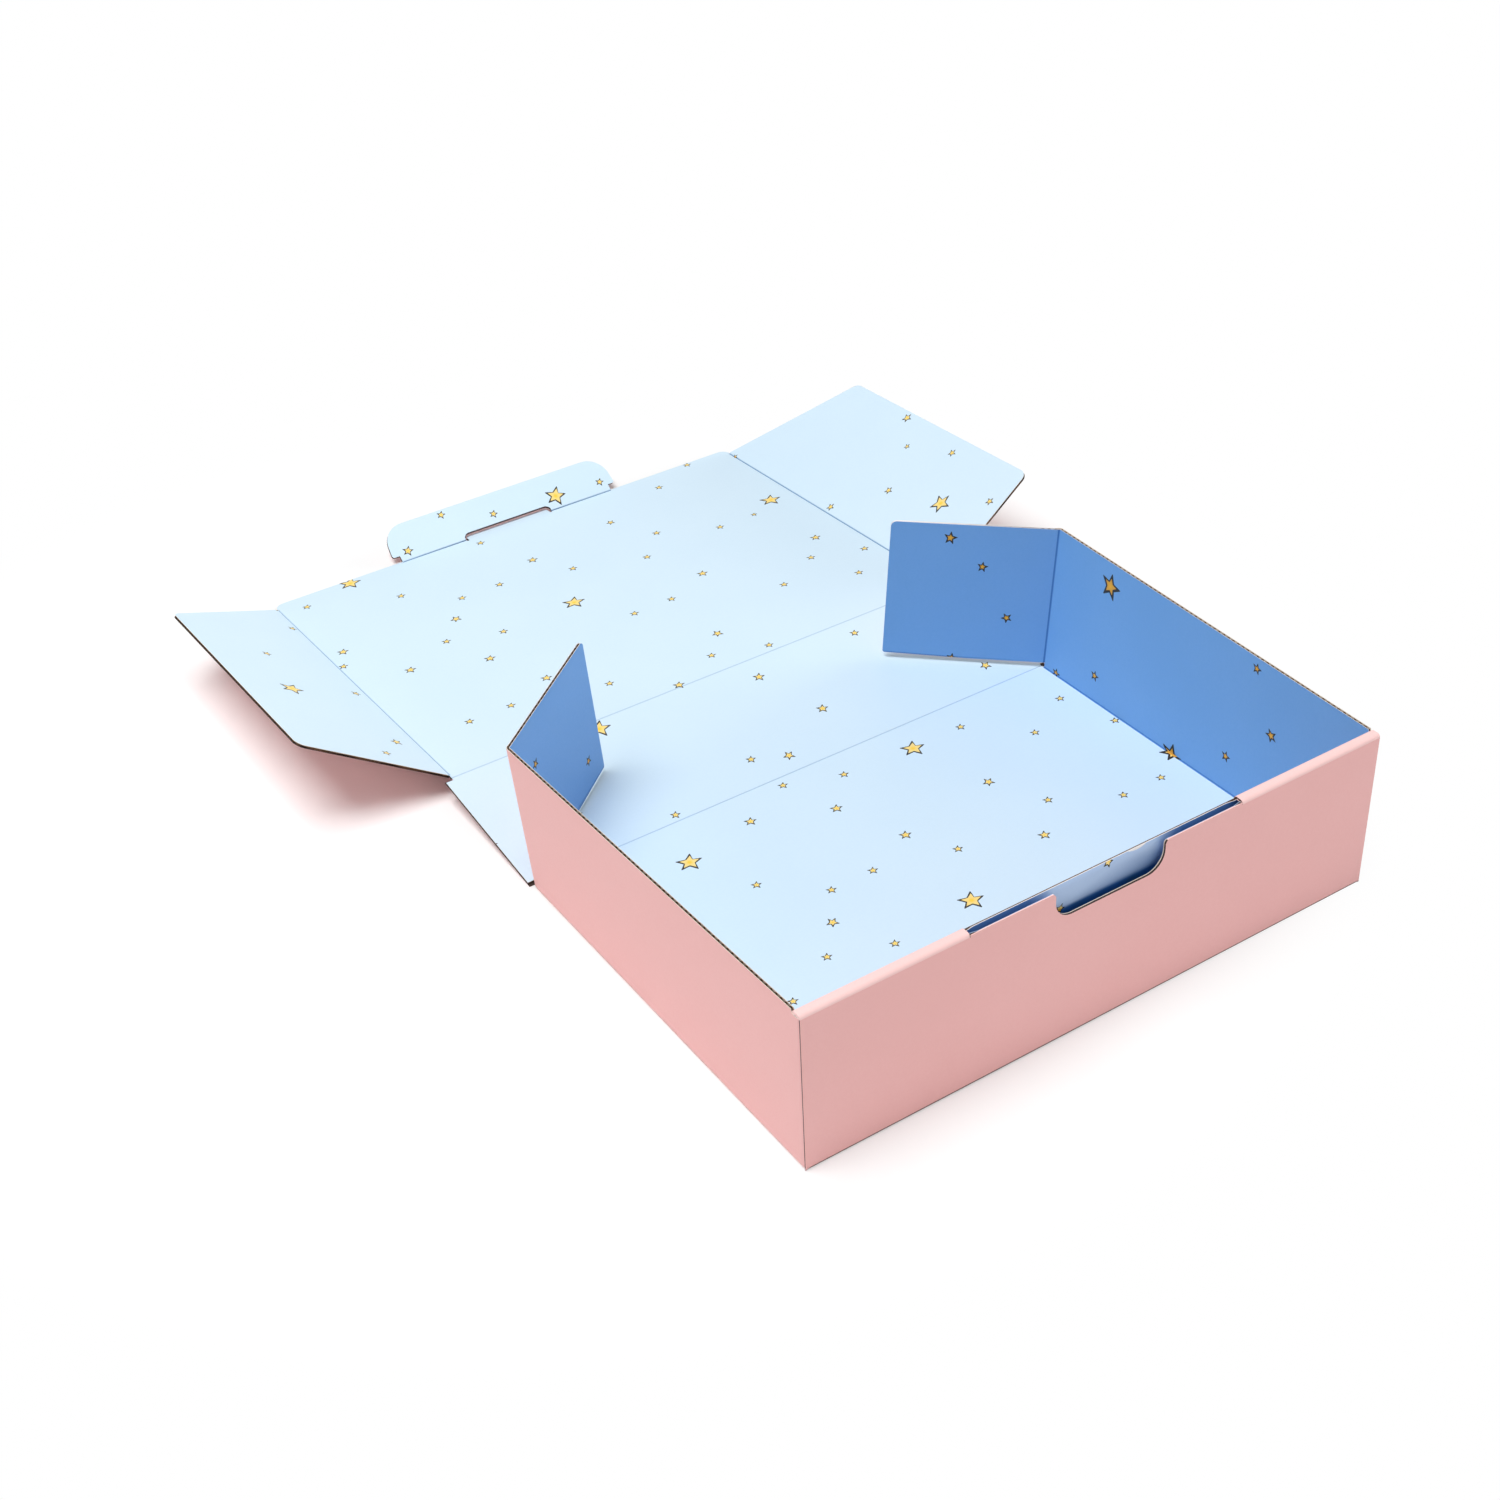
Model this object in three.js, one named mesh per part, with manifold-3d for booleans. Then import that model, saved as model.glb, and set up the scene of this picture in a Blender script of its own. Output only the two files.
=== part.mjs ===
// A roll-over-front mailer of thin corrugated board, standing open with its lid laid back on the table.
// Units are millimetres. X runs along the front wall, Y from the front to the rear, Z up.
import * as THREE from "three";
import Module from "manifold-3d";

const wasm = await Module();
wasm.setup();

// Driving sizes of the tray and lid
const boxWidth = 300;
const boxDepth = 218.5;
const sideWallHeight = 80.3;
const rearWallLength = 83;
const boardThickness = 1.5;

// Clearances
const creaseClearance = 0.22; // from a folding crease to each of its two panels
const panelClearance = 0.3; // between panels that touch
const cavityClearance = 0.45; // each side of a flap held between the two front walls

// Rest angles, in degrees
const rearWallTilt = 7.16;
const leftDustFlapTilt = 31.2;
const rightDustFlapTilt = 28.9;
const tuckFlapTilt = 38.2;
const rearCornerFlapTurn = 53;

// Side walls lean out at their rear top corners and stand upright at the front
const leftWallLean = 5.5;
const rightWallLean = 6.75;

// Roll-over front wall
const slotWidth = 141;
const slotLipRise = 1; // how far the outer wall stands higher in the slot than below the strips
const notchWidth = 57;
const notchOffset = 0.5; // of the notch's middle from the box's middle
const notchDepth = 14.3;
const notchCornerRadius = 9;
const notchMouthRadius = 2.5;
const lockTabInset = 52.5; // from the box's outside to the nearer end of a lock tab
const lockTabWidth = 68;
const lockTabEndClearance = 0.5;
const lockTabCornerRadius = 0.6;

// Corner flaps
const frontCornerFlapLength = 71.2;
const frontCornerFlapInset = 0.5; // above the base and below the strips
const leftRearCornerFlapLength = 81.7;
const rightRearCornerFlapLength = 82.9;
const rearCornerFlapLift = 4.2; // from the table to the flap's lower edge
const leftRearCornerFlapRise = 2.1; // the lower edge rises this far towards the free end
const rightRearCornerFlapRise = 1.2;
const riseStartShare = 0.45;
const rearCornerFlapSetBack = 1.2; // of the outer face at the crease
const flapCornerRadius = 3;

// Rear wall and lid
const rearWallOverhang = 1.9; // beyond the tray on each side
const lidSideInset = 2; // from the tray's outer face to the crease of a dust flap
const lidCornerRadius = 5.5;
const tongueWidth = 53;
const tongueLength = 3.5;
const tongueCornerRadius = 2;

// Dust flaps
const dustFlapLength = 79;
const dustFlapRearCut = 2.2;
const dustFlapFrontCut = 5.8;
const dustFlapRearTaper = 10.5;
const dustFlapFrontTaper = 40.4;
const dustFlapCornerRadius = 5.5;

// Tuck flap
const tuckFlapLength = 23.2;
const tuckCreaseWidth = 136.6;
const tuckOffset = 1; // of the tuck flap's middle to the left of the box's middle
const tuckEarReach = 4.4; // beyond the end of the crease
const tuckEarStart = 4.6; // from the crease to the ear
const tuckEarRadius = 1.4;
const tuckEarTaper = 1.6;
const tuckCornerRadius = 13;
const tuckCutClearance = 1.5; // each side of the tongue
const tuckCutDepth = 4.2;
const tuckCutRadius = 2;

// Fineness of round corners and of the twisted side walls
const arcStep = 15;
const twistColumns = 9;
const twistRowShares = [0, 0.25, 0.5, 0.75];

// Places that follow from the sizes
const middle = boxWidth / 2;
const slotStart = middle - slotWidth / 2;
const slotEnd = middle + slotWidth / 2;
const notchStart = middle + notchOffset - notchWidth / 2;
const notchEnd = notchStart + notchWidth;
const lockTabStarts = [lockTabInset, boxWidth - lockTabInset - lockTabWidth];
const tuckMiddle = middle - tuckOffset;
const tuckCreaseStart = tuckMiddle - tuckCreaseWidth / 2;
const tuckCreaseEnd = tuckMiddle + tuckCreaseWidth / 2;
const tongueStart = tuckMiddle - tongueWidth / 2;
const tongueEnd = tuckMiddle + tongueWidth / 2;
const tuckCutStart = tongueStart - tuckCutClearance;
const tuckCutEnd = tongueEnd + tuckCutClearance;
const frontWallBack = boardThickness;
const cornerFlapFront = frontWallBack + cavityClearance;
const innerWallFront = cornerFlapFront + boardThickness + cavityClearance;
const stripDepth = innerWallFront + boardThickness;
const stripUnderside = sideWallHeight - boardThickness;
const frontPanelTop = stripUnderside - panelClearance;
const innerSide = boardThickness + panelClearance; // from the outside to what lies against a wall
const cornerCreaseY = boxDepth - boardThickness - panelClearance;
const sideWallRear = cornerCreaseY - panelClearance;
const lidDepth = boxDepth - cornerFlapFront;
const rearCreaseHeight = rearWallLength * Math.sin(THREE.MathUtils.degToRad(rearWallTilt));
const lidSlope = THREE.MathUtils.radToDeg(Math.asin(rearCreaseHeight / (lidDepth + tongueLength)));

const pinkBoard = { color: 0xdca3a3, roughness: 0.55, metalness: 0 };
const blueBoard = { color: 0xa9cdee, roughness: 0.55, metalness: 0 };

// A ring of corners [x, y, radius] as plain points, anticlockwise, with its round corners as arcs
function roundedRing(corners) {
  const ring = [];
  corners.forEach(([x, y, radius = 0], index) => {
    const corner = new THREE.Vector2(x, y);
    if (radius === 0) {
      ring.push(corner);
      return;
    }
    const before = corners[(index + corners.length - 1) % corners.length];
    const after = corners[(index + 1) % corners.length];
    const back = new THREE.Vector2(before[0], before[1]).sub(corner).normalize();
    const ahead = new THREE.Vector2(after[0], after[1]).sub(corner).normalize();
    const halfAngle = Math.acos(back.dot(ahead)) / 2;
    const tangent = radius / Math.tan(halfAngle);
    const inward = back.clone().add(ahead).normalize();
    const centre = corner.clone().addScaledVector(inward, radius / Math.sin(halfAngle));
    const first = corner.clone().addScaledVector(back, tangent).sub(centre);
    const last = corner.clone().addScaledVector(ahead, tangent).sub(centre);
    const turn = Math.atan2(first.cross(last), first.dot(last));
    const steps = Math.max(2, Math.ceil(Math.abs(turn) / THREE.MathUtils.degToRad(arcStep)));
    for (let step = 0; step <= steps; step += 1) {
      ring.push(first.clone().rotateAround(new THREE.Vector2(), (turn * step) / steps).add(centre));
    }
  });
  return THREE.ShapeUtils.isClockWise(ring) ? ring.reverse() : ring;
}

// The triangles of a flat face with holes, all anticlockwise, with every point of its rings in use
function flatTriangles(rings) {
  return wasm.triangulate(rings.map((ring) => ring.map(({ x, y }) => [x, y])));
}

// A panel of board. The face that holds its creases lies at z = 0, the other one thickness above.
// setBack moves a point of the first face to its place on the second, for a mitred crease.
function boardGeometry(corners, { holes = [], setBack = (point) => point } = {}) {
  const near = [roundedRing(corners), ...holes.map((hole) => roundedRing(hole).reverse())];
  const far = near.map((ring) => ring.map((point) => setBack(point.clone())));
  const count = near.flat().length;
  const positions = [];
  near.flat().forEach((point) => positions.push(point.x, point.y, 0));
  far.flat().forEach((point) => positions.push(point.x, point.y, boardThickness));
  const index = [];
  flatTriangles(near).forEach(([a, b, c]) => index.push(a, c, b));
  flatTriangles(far).forEach(([a, b, c]) => index.push(a + count, b + count, c + count));
  let start = 0;
  near.forEach((ring) => {
    ring.forEach((point, place) => {
      const a = start + place;
      const b = start + ((place + 1) % ring.length);
      index.push(a, b, b + count, a, b + count, a + count);
    });
    start += ring.length;
  });
  return closedGeometry(positions, index);
}

function closedGeometry(positions, index) {
  const geometry = new THREE.BufferGeometry();
  geometry.setAttribute("position", new THREE.Float32BufferAttribute(positions, 3));
  geometry.setIndex(index);
  geometry.computeVertexNormals();
  return geometry;
}

function namedMesh(name, geometry, look) {
  const mesh = new THREE.Mesh(geometry, new THREE.MeshStandardMaterial(look));
  mesh.name = name;
  return mesh;
}

function rectangle(left, right, low, high) {
  return [[left, low], [right, low], [right, high], [left, high]];
}

// An upright board parallel to the front wall, its rear face at the given depth
function uprightBoard(name, corners, rearFace, look) {
  const mesh = namedMesh(name, boardGeometry(corners), look);
  mesh.rotation.x = Math.PI / 2;
  mesh.position.y = rearFace;
  return mesh;
}

// The base, with the slots that the lock tabs of the inner front wall drop into
function basePanel() {
  const rearEdge = boxDepth - creaseClearance;
  const corners = rectangle(innerSide, boxWidth - innerSide, innerSide, rearEdge);
  const slotFront = innerWallFront - panelClearance;
  const slotRear = stripDepth + panelClearance;
  const holes = lockTabStarts.map((start) => rectangle(start - lockTabEndClearance,
    start + lockTabWidth + lockTabEndClearance, slotFront, slotRear));
  const setBack = (point) => {
    if (point.y === rearEdge) point.y -= boardThickness;
    return point;
  };
  return namedMesh("base_panel", boardGeometry(corners, { holes, setBack }), blueBoard);
}

// A side wall as a twisted plate: a grid of cells without the one that lies under the front strip
function sideWall(name, side, lean) {
  const columns = [cornerFlapFront, stripDepth + panelClearance];
  const twistLength = sideWallRear - columns[1];
  for (let column = 1; column <= twistColumns; column += 1) {
    columns.push(columns[1] + (twistLength * column) / twistColumns);
  }
  const rows = [...twistRowShares.map((share) => share * frontPanelTop), frontPanelTop, sideWallHeight];
  const lastColumn = columns.length - 2;
  const lastRow = rows.length - 2;
  const present = (column, row) => column >= 0 && row >= 0 && column <= lastColumn && row <= lastRow
    && !(column === 0 && row === lastRow);
  const positions = [];
  const places = new Map();
  const corner = (column, row, face) => {
    const key = `${column} ${row} ${face}`;
    if (!places.has(key)) {
      places.set(key, places.size);
      const y = columns[column];
      const z = rows[row];
      const outward = lean * (y / sideWallRear) * (z / sideWallHeight) - face * boardThickness;
      positions.push(side < 0 ? -outward : boxWidth + outward, y, z);
    }
    return places.get(key);
  };
  const index = [];
  const quad = (a, b, c, d) => {
    if (side < 0) index.push(a, b, c, a, c, d);
    else index.push(a, c, b, a, d, c);
  };
  for (let column = 0; column <= lastColumn; column += 1) {
    for (let row = 0; row <= lastRow; row += 1) {
      if (!present(column, row)) continue;
      const at = (right, up, face) => corner(column + right, row + up, face);
      quad(at(0, 0, 0), at(0, 1, 0), at(1, 1, 0), at(1, 0, 0));
      quad(at(0, 0, 1), at(1, 0, 1), at(1, 1, 1), at(0, 1, 1));
      if (!present(column - 1, row)) quad(at(0, 0, 0), at(0, 0, 1), at(0, 1, 1), at(0, 1, 0));
      if (!present(column + 1, row)) quad(at(1, 0, 0), at(1, 1, 0), at(1, 1, 1), at(1, 0, 1));
      if (!present(column, row - 1)) quad(at(0, 0, 0), at(1, 0, 0), at(1, 0, 1), at(0, 0, 1));
      if (!present(column, row + 1)) quad(at(0, 1, 0), at(0, 1, 1), at(1, 1, 1), at(1, 1, 0));
    }
  }
  return namedMesh(name, closedGeometry(positions, index), pinkBoard);
}

// The outer front wall, with the thumb notch in its middle
function frontOuterWall() {
  const slotTop = frontPanelTop + slotLipRise;
  const notchFloor = slotTop - notchDepth;
  const corners = [
    [0, 0], [boxWidth, 0], [boxWidth, frontPanelTop], [slotEnd, frontPanelTop], [slotEnd, slotTop],
    [notchEnd, slotTop, notchMouthRadius], [notchEnd, notchFloor, notchCornerRadius],
    [notchStart, notchFloor, notchCornerRadius], [notchStart, slotTop, notchMouthRadius],
    [slotStart, slotTop], [slotStart, frontPanelTop], [0, frontPanelTop],
  ];
  return uprightBoard("front_outer_wall", corners, frontWallBack, pinkBoard);
}

// The inner front wall, with two lock tabs on its lower edge
function frontInnerWall() {
  const left = innerSide;
  const right = boxWidth - innerSide;
  const foot = boardThickness + panelClearance;
  const corners = [[left, frontPanelTop], [left, foot]];
  lockTabStarts.forEach((start) => {
    const end = start + lockTabWidth;
    corners.push([start, foot], [start, panelClearance, lockTabCornerRadius]);
    corners.push([end, panelClearance, lockTabCornerRadius], [end, foot]);
  });
  corners.push([right, foot], [right, frontPanelTop]);
  return uprightBoard("front_inner_wall", corners, stripDepth, pinkBoard);
}

// One of the two narrow strips over the front wall, which leave the tuck flap's slot between them
function topStrip(name, left, right) {
  const mesh = namedMesh(name, boardGeometry(rectangle(left, right, 0, stripDepth)), pinkBoard);
  mesh.position.z = stripUnderside;
  return mesh;
}

// A front corner flap of a side wall, held between the two front walls
function frontCornerFlap(name, side) {
  const near = side < 0 ? innerSide : boxWidth - innerSide;
  const far = near - side * frontCornerFlapLength;
  const low = boardThickness + frontCornerFlapInset;
  const high = frontPanelTop - frontCornerFlapInset;
  const corners = [[near, low], [far, low, flapCornerRadius], [far, high, flapCornerRadius], [near, high]];
  return uprightBoard(name, corners, cornerFlapFront + boardThickness, pinkBoard);
}

// A rear corner flap of a side wall, standing free and turned in over the rear wall.
// It turns about the leaning rear edge of the side wall, on the wall's inner side.
function rearCornerFlap(name, side, lean, length, rise) {
  const along = new THREE.Vector3(side * lean, 0, sideWallHeight).normalize();
  const across = new THREE.Vector3(0, 1, 0);
  const third = new THREE.Vector3().crossVectors(along, across);
  const crease = new THREE.Group();
  crease.applyMatrix4(new THREE.Matrix4().makeBasis(across, third, along));
  crease.position.set(side < 0 ? innerSide : boxWidth - innerSide, cornerCreaseY, 0);

  const start = creaseClearance;
  const corners = [
    [start, rearCornerFlapLift], [length * riseStartShare, rearCornerFlapLift],
    [length, rearCornerFlapLift + rise, flapCornerRadius],
    [length, sideWallHeight, flapCornerRadius], [start, sideWallHeight],
  ].map(([x, y, radius]) => [x, side * y, radius]);
  const setBack = (point) => {
    if (point.x === start) point.x += rearCornerFlapSetBack;
    return point;
  };
  const mesh = namedMesh(name, boardGeometry(corners, { setBack }), blueBoard);
  mesh.rotation.x = (side * Math.PI) / 2;
  const flap = new THREE.Group();
  flap.name = `${name}_fold`;
  flap.rotation.z = side * THREE.MathUtils.degToRad(rearCornerFlapTurn);
  flap.add(mesh);
  crease.add(flap);
  return crease;
}

// A group that turns about the crease through its origin, by an angle in degrees
function fold(name, axis, degrees, place) {
  const group = new THREE.Group();
  group.name = name;
  group.position.set(...place);
  group.rotation[axis] = THREE.MathUtils.degToRad(degrees);
  return group;
}

// The rear wall, mitred along the base and along the lid
function rearWall() {
  const near = creaseClearance;
  const far = rearWallLength - creaseClearance;
  const corners = rectangle(-rearWallOverhang, boxWidth + rearWallOverhang, near, far);
  const setBack = (point) => {
    point.y += point.y === near ? boardThickness : -boardThickness;
    return point;
  };
  return namedMesh("rear_wall", boardGeometry(corners, { setBack }), blueBoard);
}

// The lid, with its tongue in the middle of the tuck flap's crease
function lidPanel() {
  const near = creaseClearance;
  const tuckEdge = lidDepth - creaseClearance;
  const tongueTip = lidDepth + tongueLength;
  const flapStart = dustFlapRearCut;
  const flapEnd = lidDepth - dustFlapFrontCut;
  const left = lidSideInset;
  const right = boxWidth - lidSideInset;
  const leftEdge = left + creaseClearance;
  const rightEdge = right - creaseClearance;
  const corners = [
    [left, near], [right, near],
    [right, flapStart], [rightEdge, flapStart], [rightEdge, flapEnd], [right, flapEnd],
    [right, lidDepth, lidCornerRadius], [tuckCreaseEnd, lidDepth], [tuckCreaseEnd, tuckEdge],
    [tongueEnd, tuckEdge], [tongueEnd, tongueTip, tongueCornerRadius],
    [tongueStart, tongueTip, tongueCornerRadius], [tongueStart, tuckEdge],
    [tuckCreaseStart, tuckEdge], [tuckCreaseStart, lidDepth], [left, lidDepth, lidCornerRadius],
    [left, flapEnd], [leftEdge, flapEnd], [leftEdge, flapStart], [left, flapStart],
  ];
  const setBack = (point) => {
    if (point.y === near) point.y += boardThickness;
    if (point.y === tuckEdge) point.y -= boardThickness;
    if (point.x === leftEdge) point.x += boardThickness;
    if (point.x === rightEdge) point.x -= boardThickness;
    return point;
  };
  return namedMesh("lid_panel", boardGeometry(corners, { setBack }), blueBoard);
}

// A dust flap of the lid, tapered towards both ends
function dustFlap(name, side) {
  const near = side * creaseClearance;
  const far = side * dustFlapLength;
  const rear = dustFlapRearCut;
  const front = lidDepth - dustFlapFrontCut;
  const corners = [
    [near, rear], [far, rear + dustFlapRearTaper, dustFlapCornerRadius],
    [far, front - dustFlapFrontTaper, dustFlapCornerRadius], [near, front],
  ];
  const setBack = (point) => {
    if (point.x === near) point.x += side * boardThickness;
    return point;
  };
  return namedMesh(name, boardGeometry(corners, { setBack }), blueBoard);
}

// The tuck flap, with an ear at each end and a cut-out for the lid's tongue
function tuckFlap() {
  const near = creaseClearance;
  const earLeft = tuckCreaseStart - tuckEarReach;
  const earRight = tuckCreaseEnd + tuckEarReach;
  const corners = [
    [tuckCutEnd, near], [tuckCreaseEnd, near], [tuckCreaseEnd, tuckEarStart],
    [earRight, tuckEarStart, tuckEarRadius],
    [earRight - tuckEarTaper, tuckFlapLength, tuckCornerRadius],
    [earLeft + tuckEarTaper, tuckFlapLength, tuckCornerRadius],
    [earLeft, tuckEarStart, tuckEarRadius], [tuckCreaseStart, tuckEarStart],
    [tuckCreaseStart, near], [tuckCutStart, near], [tuckCutStart, tuckCutDepth, tuckCutRadius],
    [tuckCutEnd, tuckCutDepth, tuckCutRadius],
  ];
  const setBack = (point) => {
    if (point.y === near) point.y += boardThickness;
    return point;
  };
  return namedMesh("tuck_flap", boardGeometry(corners, { setBack }), blueBoard);
}

// The rear wall, lid and flaps, each turning about a crease of the panel before it
function foldingLid() {
  const rearFold = fold("rear_wall_fold", "x", rearWallTilt, [0, boxDepth, 0]);
  const lidFold = fold("lid_fold", "x", -rearWallTilt - lidSlope, [0, rearWallLength, 0]);
  const leftPlace = [lidSideInset, 0, 0];
  const rightPlace = [boxWidth - lidSideInset, 0, 0];
  const leftFold = fold("left_dust_flap_fold", "y", leftDustFlapTilt, leftPlace);
  const rightFold = fold("right_dust_flap_fold", "y", -rightDustFlapTilt, rightPlace);
  const tuckFold = fold("tuck_flap_fold", "x", tuckFlapTilt + lidSlope, [0, lidDepth, 0]);
  leftFold.add(dustFlap("left_dust_flap", -1));
  rightFold.add(dustFlap("right_dust_flap", 1));
  tuckFold.add(tuckFlap());
  lidFold.add(lidPanel(), leftFold, rightFold, tuckFold);
  rearFold.add(rearWall(), lidFold);
  return rearFold;
}

const box = new THREE.Group();
box.position.set(-boxWidth / 2, -boxDepth / 2, 0);
box.add(
  basePanel(),
  sideWall("left_side_wall", -1, leftWallLean),
  sideWall("right_side_wall", 1, rightWallLean),
  frontOuterWall(),
  frontInnerWall(),
  topStrip("left_top_strip", 0, slotStart - panelClearance),
  topStrip("right_top_strip", slotEnd + panelClearance, boxWidth),
  frontCornerFlap("left_front_corner_flap", -1),
  frontCornerFlap("right_front_corner_flap", 1),
  rearCornerFlap("left_rear_corner_flap", -1, leftWallLean, leftRearCornerFlapLength, leftRearCornerFlapRise),
  rearCornerFlap("right_rear_corner_flap", 1, rightWallLean, rightRearCornerFlapLength, rightRearCornerFlapRise),
  foldingLid(),
);

export default box;
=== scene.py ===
"""Looks of a corrugated gift box that stands open, pink outside and printed blue inside.

Board is two liners with a fluted medium between them, and the stars are faces of the inner liner.
Sizes are millimetres from the tray's front left lower corner, and to_row() turns them into the row
frame in metres.
"""
import random
from math import acos, asin, atan2, ceil, cos, degrees, exp, hypot, pi, radians, sin, sqrt, tan

import bmesh
import bpy
from mathutils import Matrix, Vector
from mathutils.geometry import delaunay_2d_cdt


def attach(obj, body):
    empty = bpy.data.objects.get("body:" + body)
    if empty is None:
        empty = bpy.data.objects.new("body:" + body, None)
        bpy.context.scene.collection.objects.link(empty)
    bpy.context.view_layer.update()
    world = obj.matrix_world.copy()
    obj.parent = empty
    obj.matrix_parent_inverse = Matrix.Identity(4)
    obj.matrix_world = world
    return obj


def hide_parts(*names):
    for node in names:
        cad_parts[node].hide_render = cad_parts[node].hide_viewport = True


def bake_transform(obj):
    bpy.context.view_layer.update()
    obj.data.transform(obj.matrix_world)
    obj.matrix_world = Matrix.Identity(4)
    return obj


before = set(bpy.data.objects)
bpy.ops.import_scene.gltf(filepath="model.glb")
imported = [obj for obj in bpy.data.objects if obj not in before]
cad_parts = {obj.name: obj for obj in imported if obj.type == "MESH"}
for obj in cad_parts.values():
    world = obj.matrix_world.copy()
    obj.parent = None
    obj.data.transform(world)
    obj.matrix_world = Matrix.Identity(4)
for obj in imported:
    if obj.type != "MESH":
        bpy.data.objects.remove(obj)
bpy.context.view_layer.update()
scene = bpy.context.scene

# Sizes of the part's source, of the whole box first
WIDTH = 300
DEPTH = 218.5
HEIGHT = 80.3
REAR_LENGTH = 83
THICK = 1.5
CREASE_GAP = 0.22
PANEL_GAP = 0.3
CAVITY_GAP = 0.45
REAR_TILT = 7.16
DUST_TILT = {-1: 31.2, 1: 28.9}
TUCK_TILT = 38.2
FLAP_TURN = 53
LEAN = {-1: 5.5, 1: 6.75}
SLOT_WIDTH = 141
LIP_RISE = 1
NOTCH_WIDTH, NOTCH_OFFSET, NOTCH_DEPTH = 57, 0.5, 14.3
NOTCH_RADIUS, NOTCH_MOUTH = 9, 2.5
TAB_INSET, TAB_WIDTH, TAB_CLEARANCE, TAB_RADIUS = 52.5, 68, 0.5, 0.6
FLAP_LENGTH = {-1: 81.7, 1: 82.9}
FLAP_LIFT = 4.2
FLAP_RISE = {-1: 2.1, 1: 1.2}
RISE_START = 0.45
FLAP_SET_BACK = 1.2
FLAP_RADIUS = 3
REAR_OVERHANG = 1.9
LID_INSET = 2
LID_RADIUS = 5.5
TONGUE_WIDTH, TONGUE_LENGTH, TONGUE_RADIUS = 53, 3.5, 2
DUST_LENGTH, DUST_REAR_CUT, DUST_FRONT_CUT = 79, 2.2, 5.8
DUST_REAR_TAPER, DUST_FRONT_TAPER, DUST_RADIUS = 10.5, 40.4, 5.5
TUCK_LENGTH, TUCK_WIDTH, TUCK_OFFSET = 23.2, 136.6, 1
EAR_REACH, EAR_START, EAR_RADIUS, EAR_TAPER = 4.4, 4.6, 1.4, 1.6
TUCK_RADIUS = 13
CUT_CLEARANCE, CUT_DEPTH, CUT_RADIUS, CUT_LEDGE = 1.5, 4.2, 3.4, 0.6

# Places that follow from them
MIDDLE = WIDTH / 2
SLOT_START, SLOT_END = MIDDLE - SLOT_WIDTH / 2, MIDDLE + SLOT_WIDTH / 2
NOTCH_START = MIDDLE + NOTCH_OFFSET - NOTCH_WIDTH / 2
NOTCH_END = NOTCH_START + NOTCH_WIDTH
TAB_STARTS = (TAB_INSET, WIDTH - TAB_INSET - TAB_WIDTH)
TUCK_MIDDLE = MIDDLE - TUCK_OFFSET
TUCK_START, TUCK_END = TUCK_MIDDLE - TUCK_WIDTH / 2, TUCK_MIDDLE + TUCK_WIDTH / 2
TONGUE_START, TONGUE_END = TUCK_MIDDLE - TONGUE_WIDTH / 2, TUCK_MIDDLE + TONGUE_WIDTH / 2
CUT_START, CUT_END = TONGUE_START - CUT_CLEARANCE, TONGUE_END + CUT_CLEARANCE
FLAP_FRONT = THICK + CAVITY_GAP
INNER_FRONT = FLAP_FRONT + THICK + CAVITY_GAP
STRIP_DEPTH = INNER_FRONT + THICK
STRIP_UNDERSIDE = HEIGHT - THICK
FRONT_TOP = STRIP_UNDERSIDE - PANEL_GAP
INNER_SIDE = THICK + PANEL_GAP
INNER_RIGHT = WIDTH - INNER_SIDE
SIDE_AT = {-1: 0, 1: WIDTH}
CORNER_Y = DEPTH - THICK - PANEL_GAP
WALL_REAR = CORNER_Y - PANEL_GAP
LID_DEPTH = DEPTH - FLAP_FRONT
REAR_HEIGHT = REAR_LENGTH * sin(radians(REAR_TILT))
LID_SLOPE = degrees(asin(REAR_HEIGHT / (LID_DEPTH + TONGUE_LENGTH)))

# The board's make-up
LINER = 0.22
PITCH = 3.2
MEDIUM = 0.17
WAVE_STEPS = 8
RECESS = 0.16  # of the flutes behind a cut edge
SHORTEST_SPAN = 4 * RECESS
ARC_STEP = 9  # degrees
SIDES = ((-1, "left"), (1, "right"))


def to_row(point):
    return Vector((point[0] - MIDDLE, point[1] - DEPTH / 2, point[2])) / 1000


def scene_object(name, data):
    made = bpy.data.objects.new(name, data)
    scene.collection.objects.link(made)
    return made


# Camera, solved from the photograph's straight edges
CAMERA_PLACE = Vector((-328.871, -506.439, 630.781))
CAMERA_YAW, CAMERA_PITCH, CAMERA_ROLL = -0.554346, -0.618042, -0.052245
FOCAL_PIXELS = 2209.841
IMAGE_SIZE = 1500
SENSOR = 36

ahead = Vector((-sin(CAMERA_YAW) * cos(CAMERA_PITCH),
                cos(CAMERA_YAW) * cos(CAMERA_PITCH), sin(CAMERA_PITCH)))
level = ahead.cross(Vector((0, 0, 1))).normalized()
upward = level.cross(ahead)
view_right = cos(CAMERA_ROLL) * level + sin(CAMERA_ROLL) * upward
view_up = -sin(CAMERA_ROLL) * level + cos(CAMERA_ROLL) * upward

camera_data = bpy.data.cameras.new("photo_camera")
camera_data.sensor_width = SENSOR
camera_data.lens = FOCAL_PIXELS / IMAGE_SIZE * SENSOR
camera_data.clip_start = 0.01
camera = scene_object("photo_camera", camera_data)
turn = Matrix((view_right, view_up, -ahead)).transposed()
camera.matrix_world = Matrix.Translation(to_row(CAMERA_PLACE)) @ turn.to_4x4()
scene.camera = camera


def pixel_ray(u, v):
    """The camera's direction through a pixel of the photograph."""
    half = IMAGE_SIZE / 2
    return ahead + view_right * (u - half) / FOCAL_PIXELS - view_up * (v - half) / FOCAL_PIXELS


# ---- materials
def put(socket, value):
    """Links a socket where the value is another node's output, and sets it otherwise."""
    if isinstance(value, bpy.types.NodeSocket):
        socket.id_data.links.new(value, socket)
    else:
        socket.default_value = value


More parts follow.
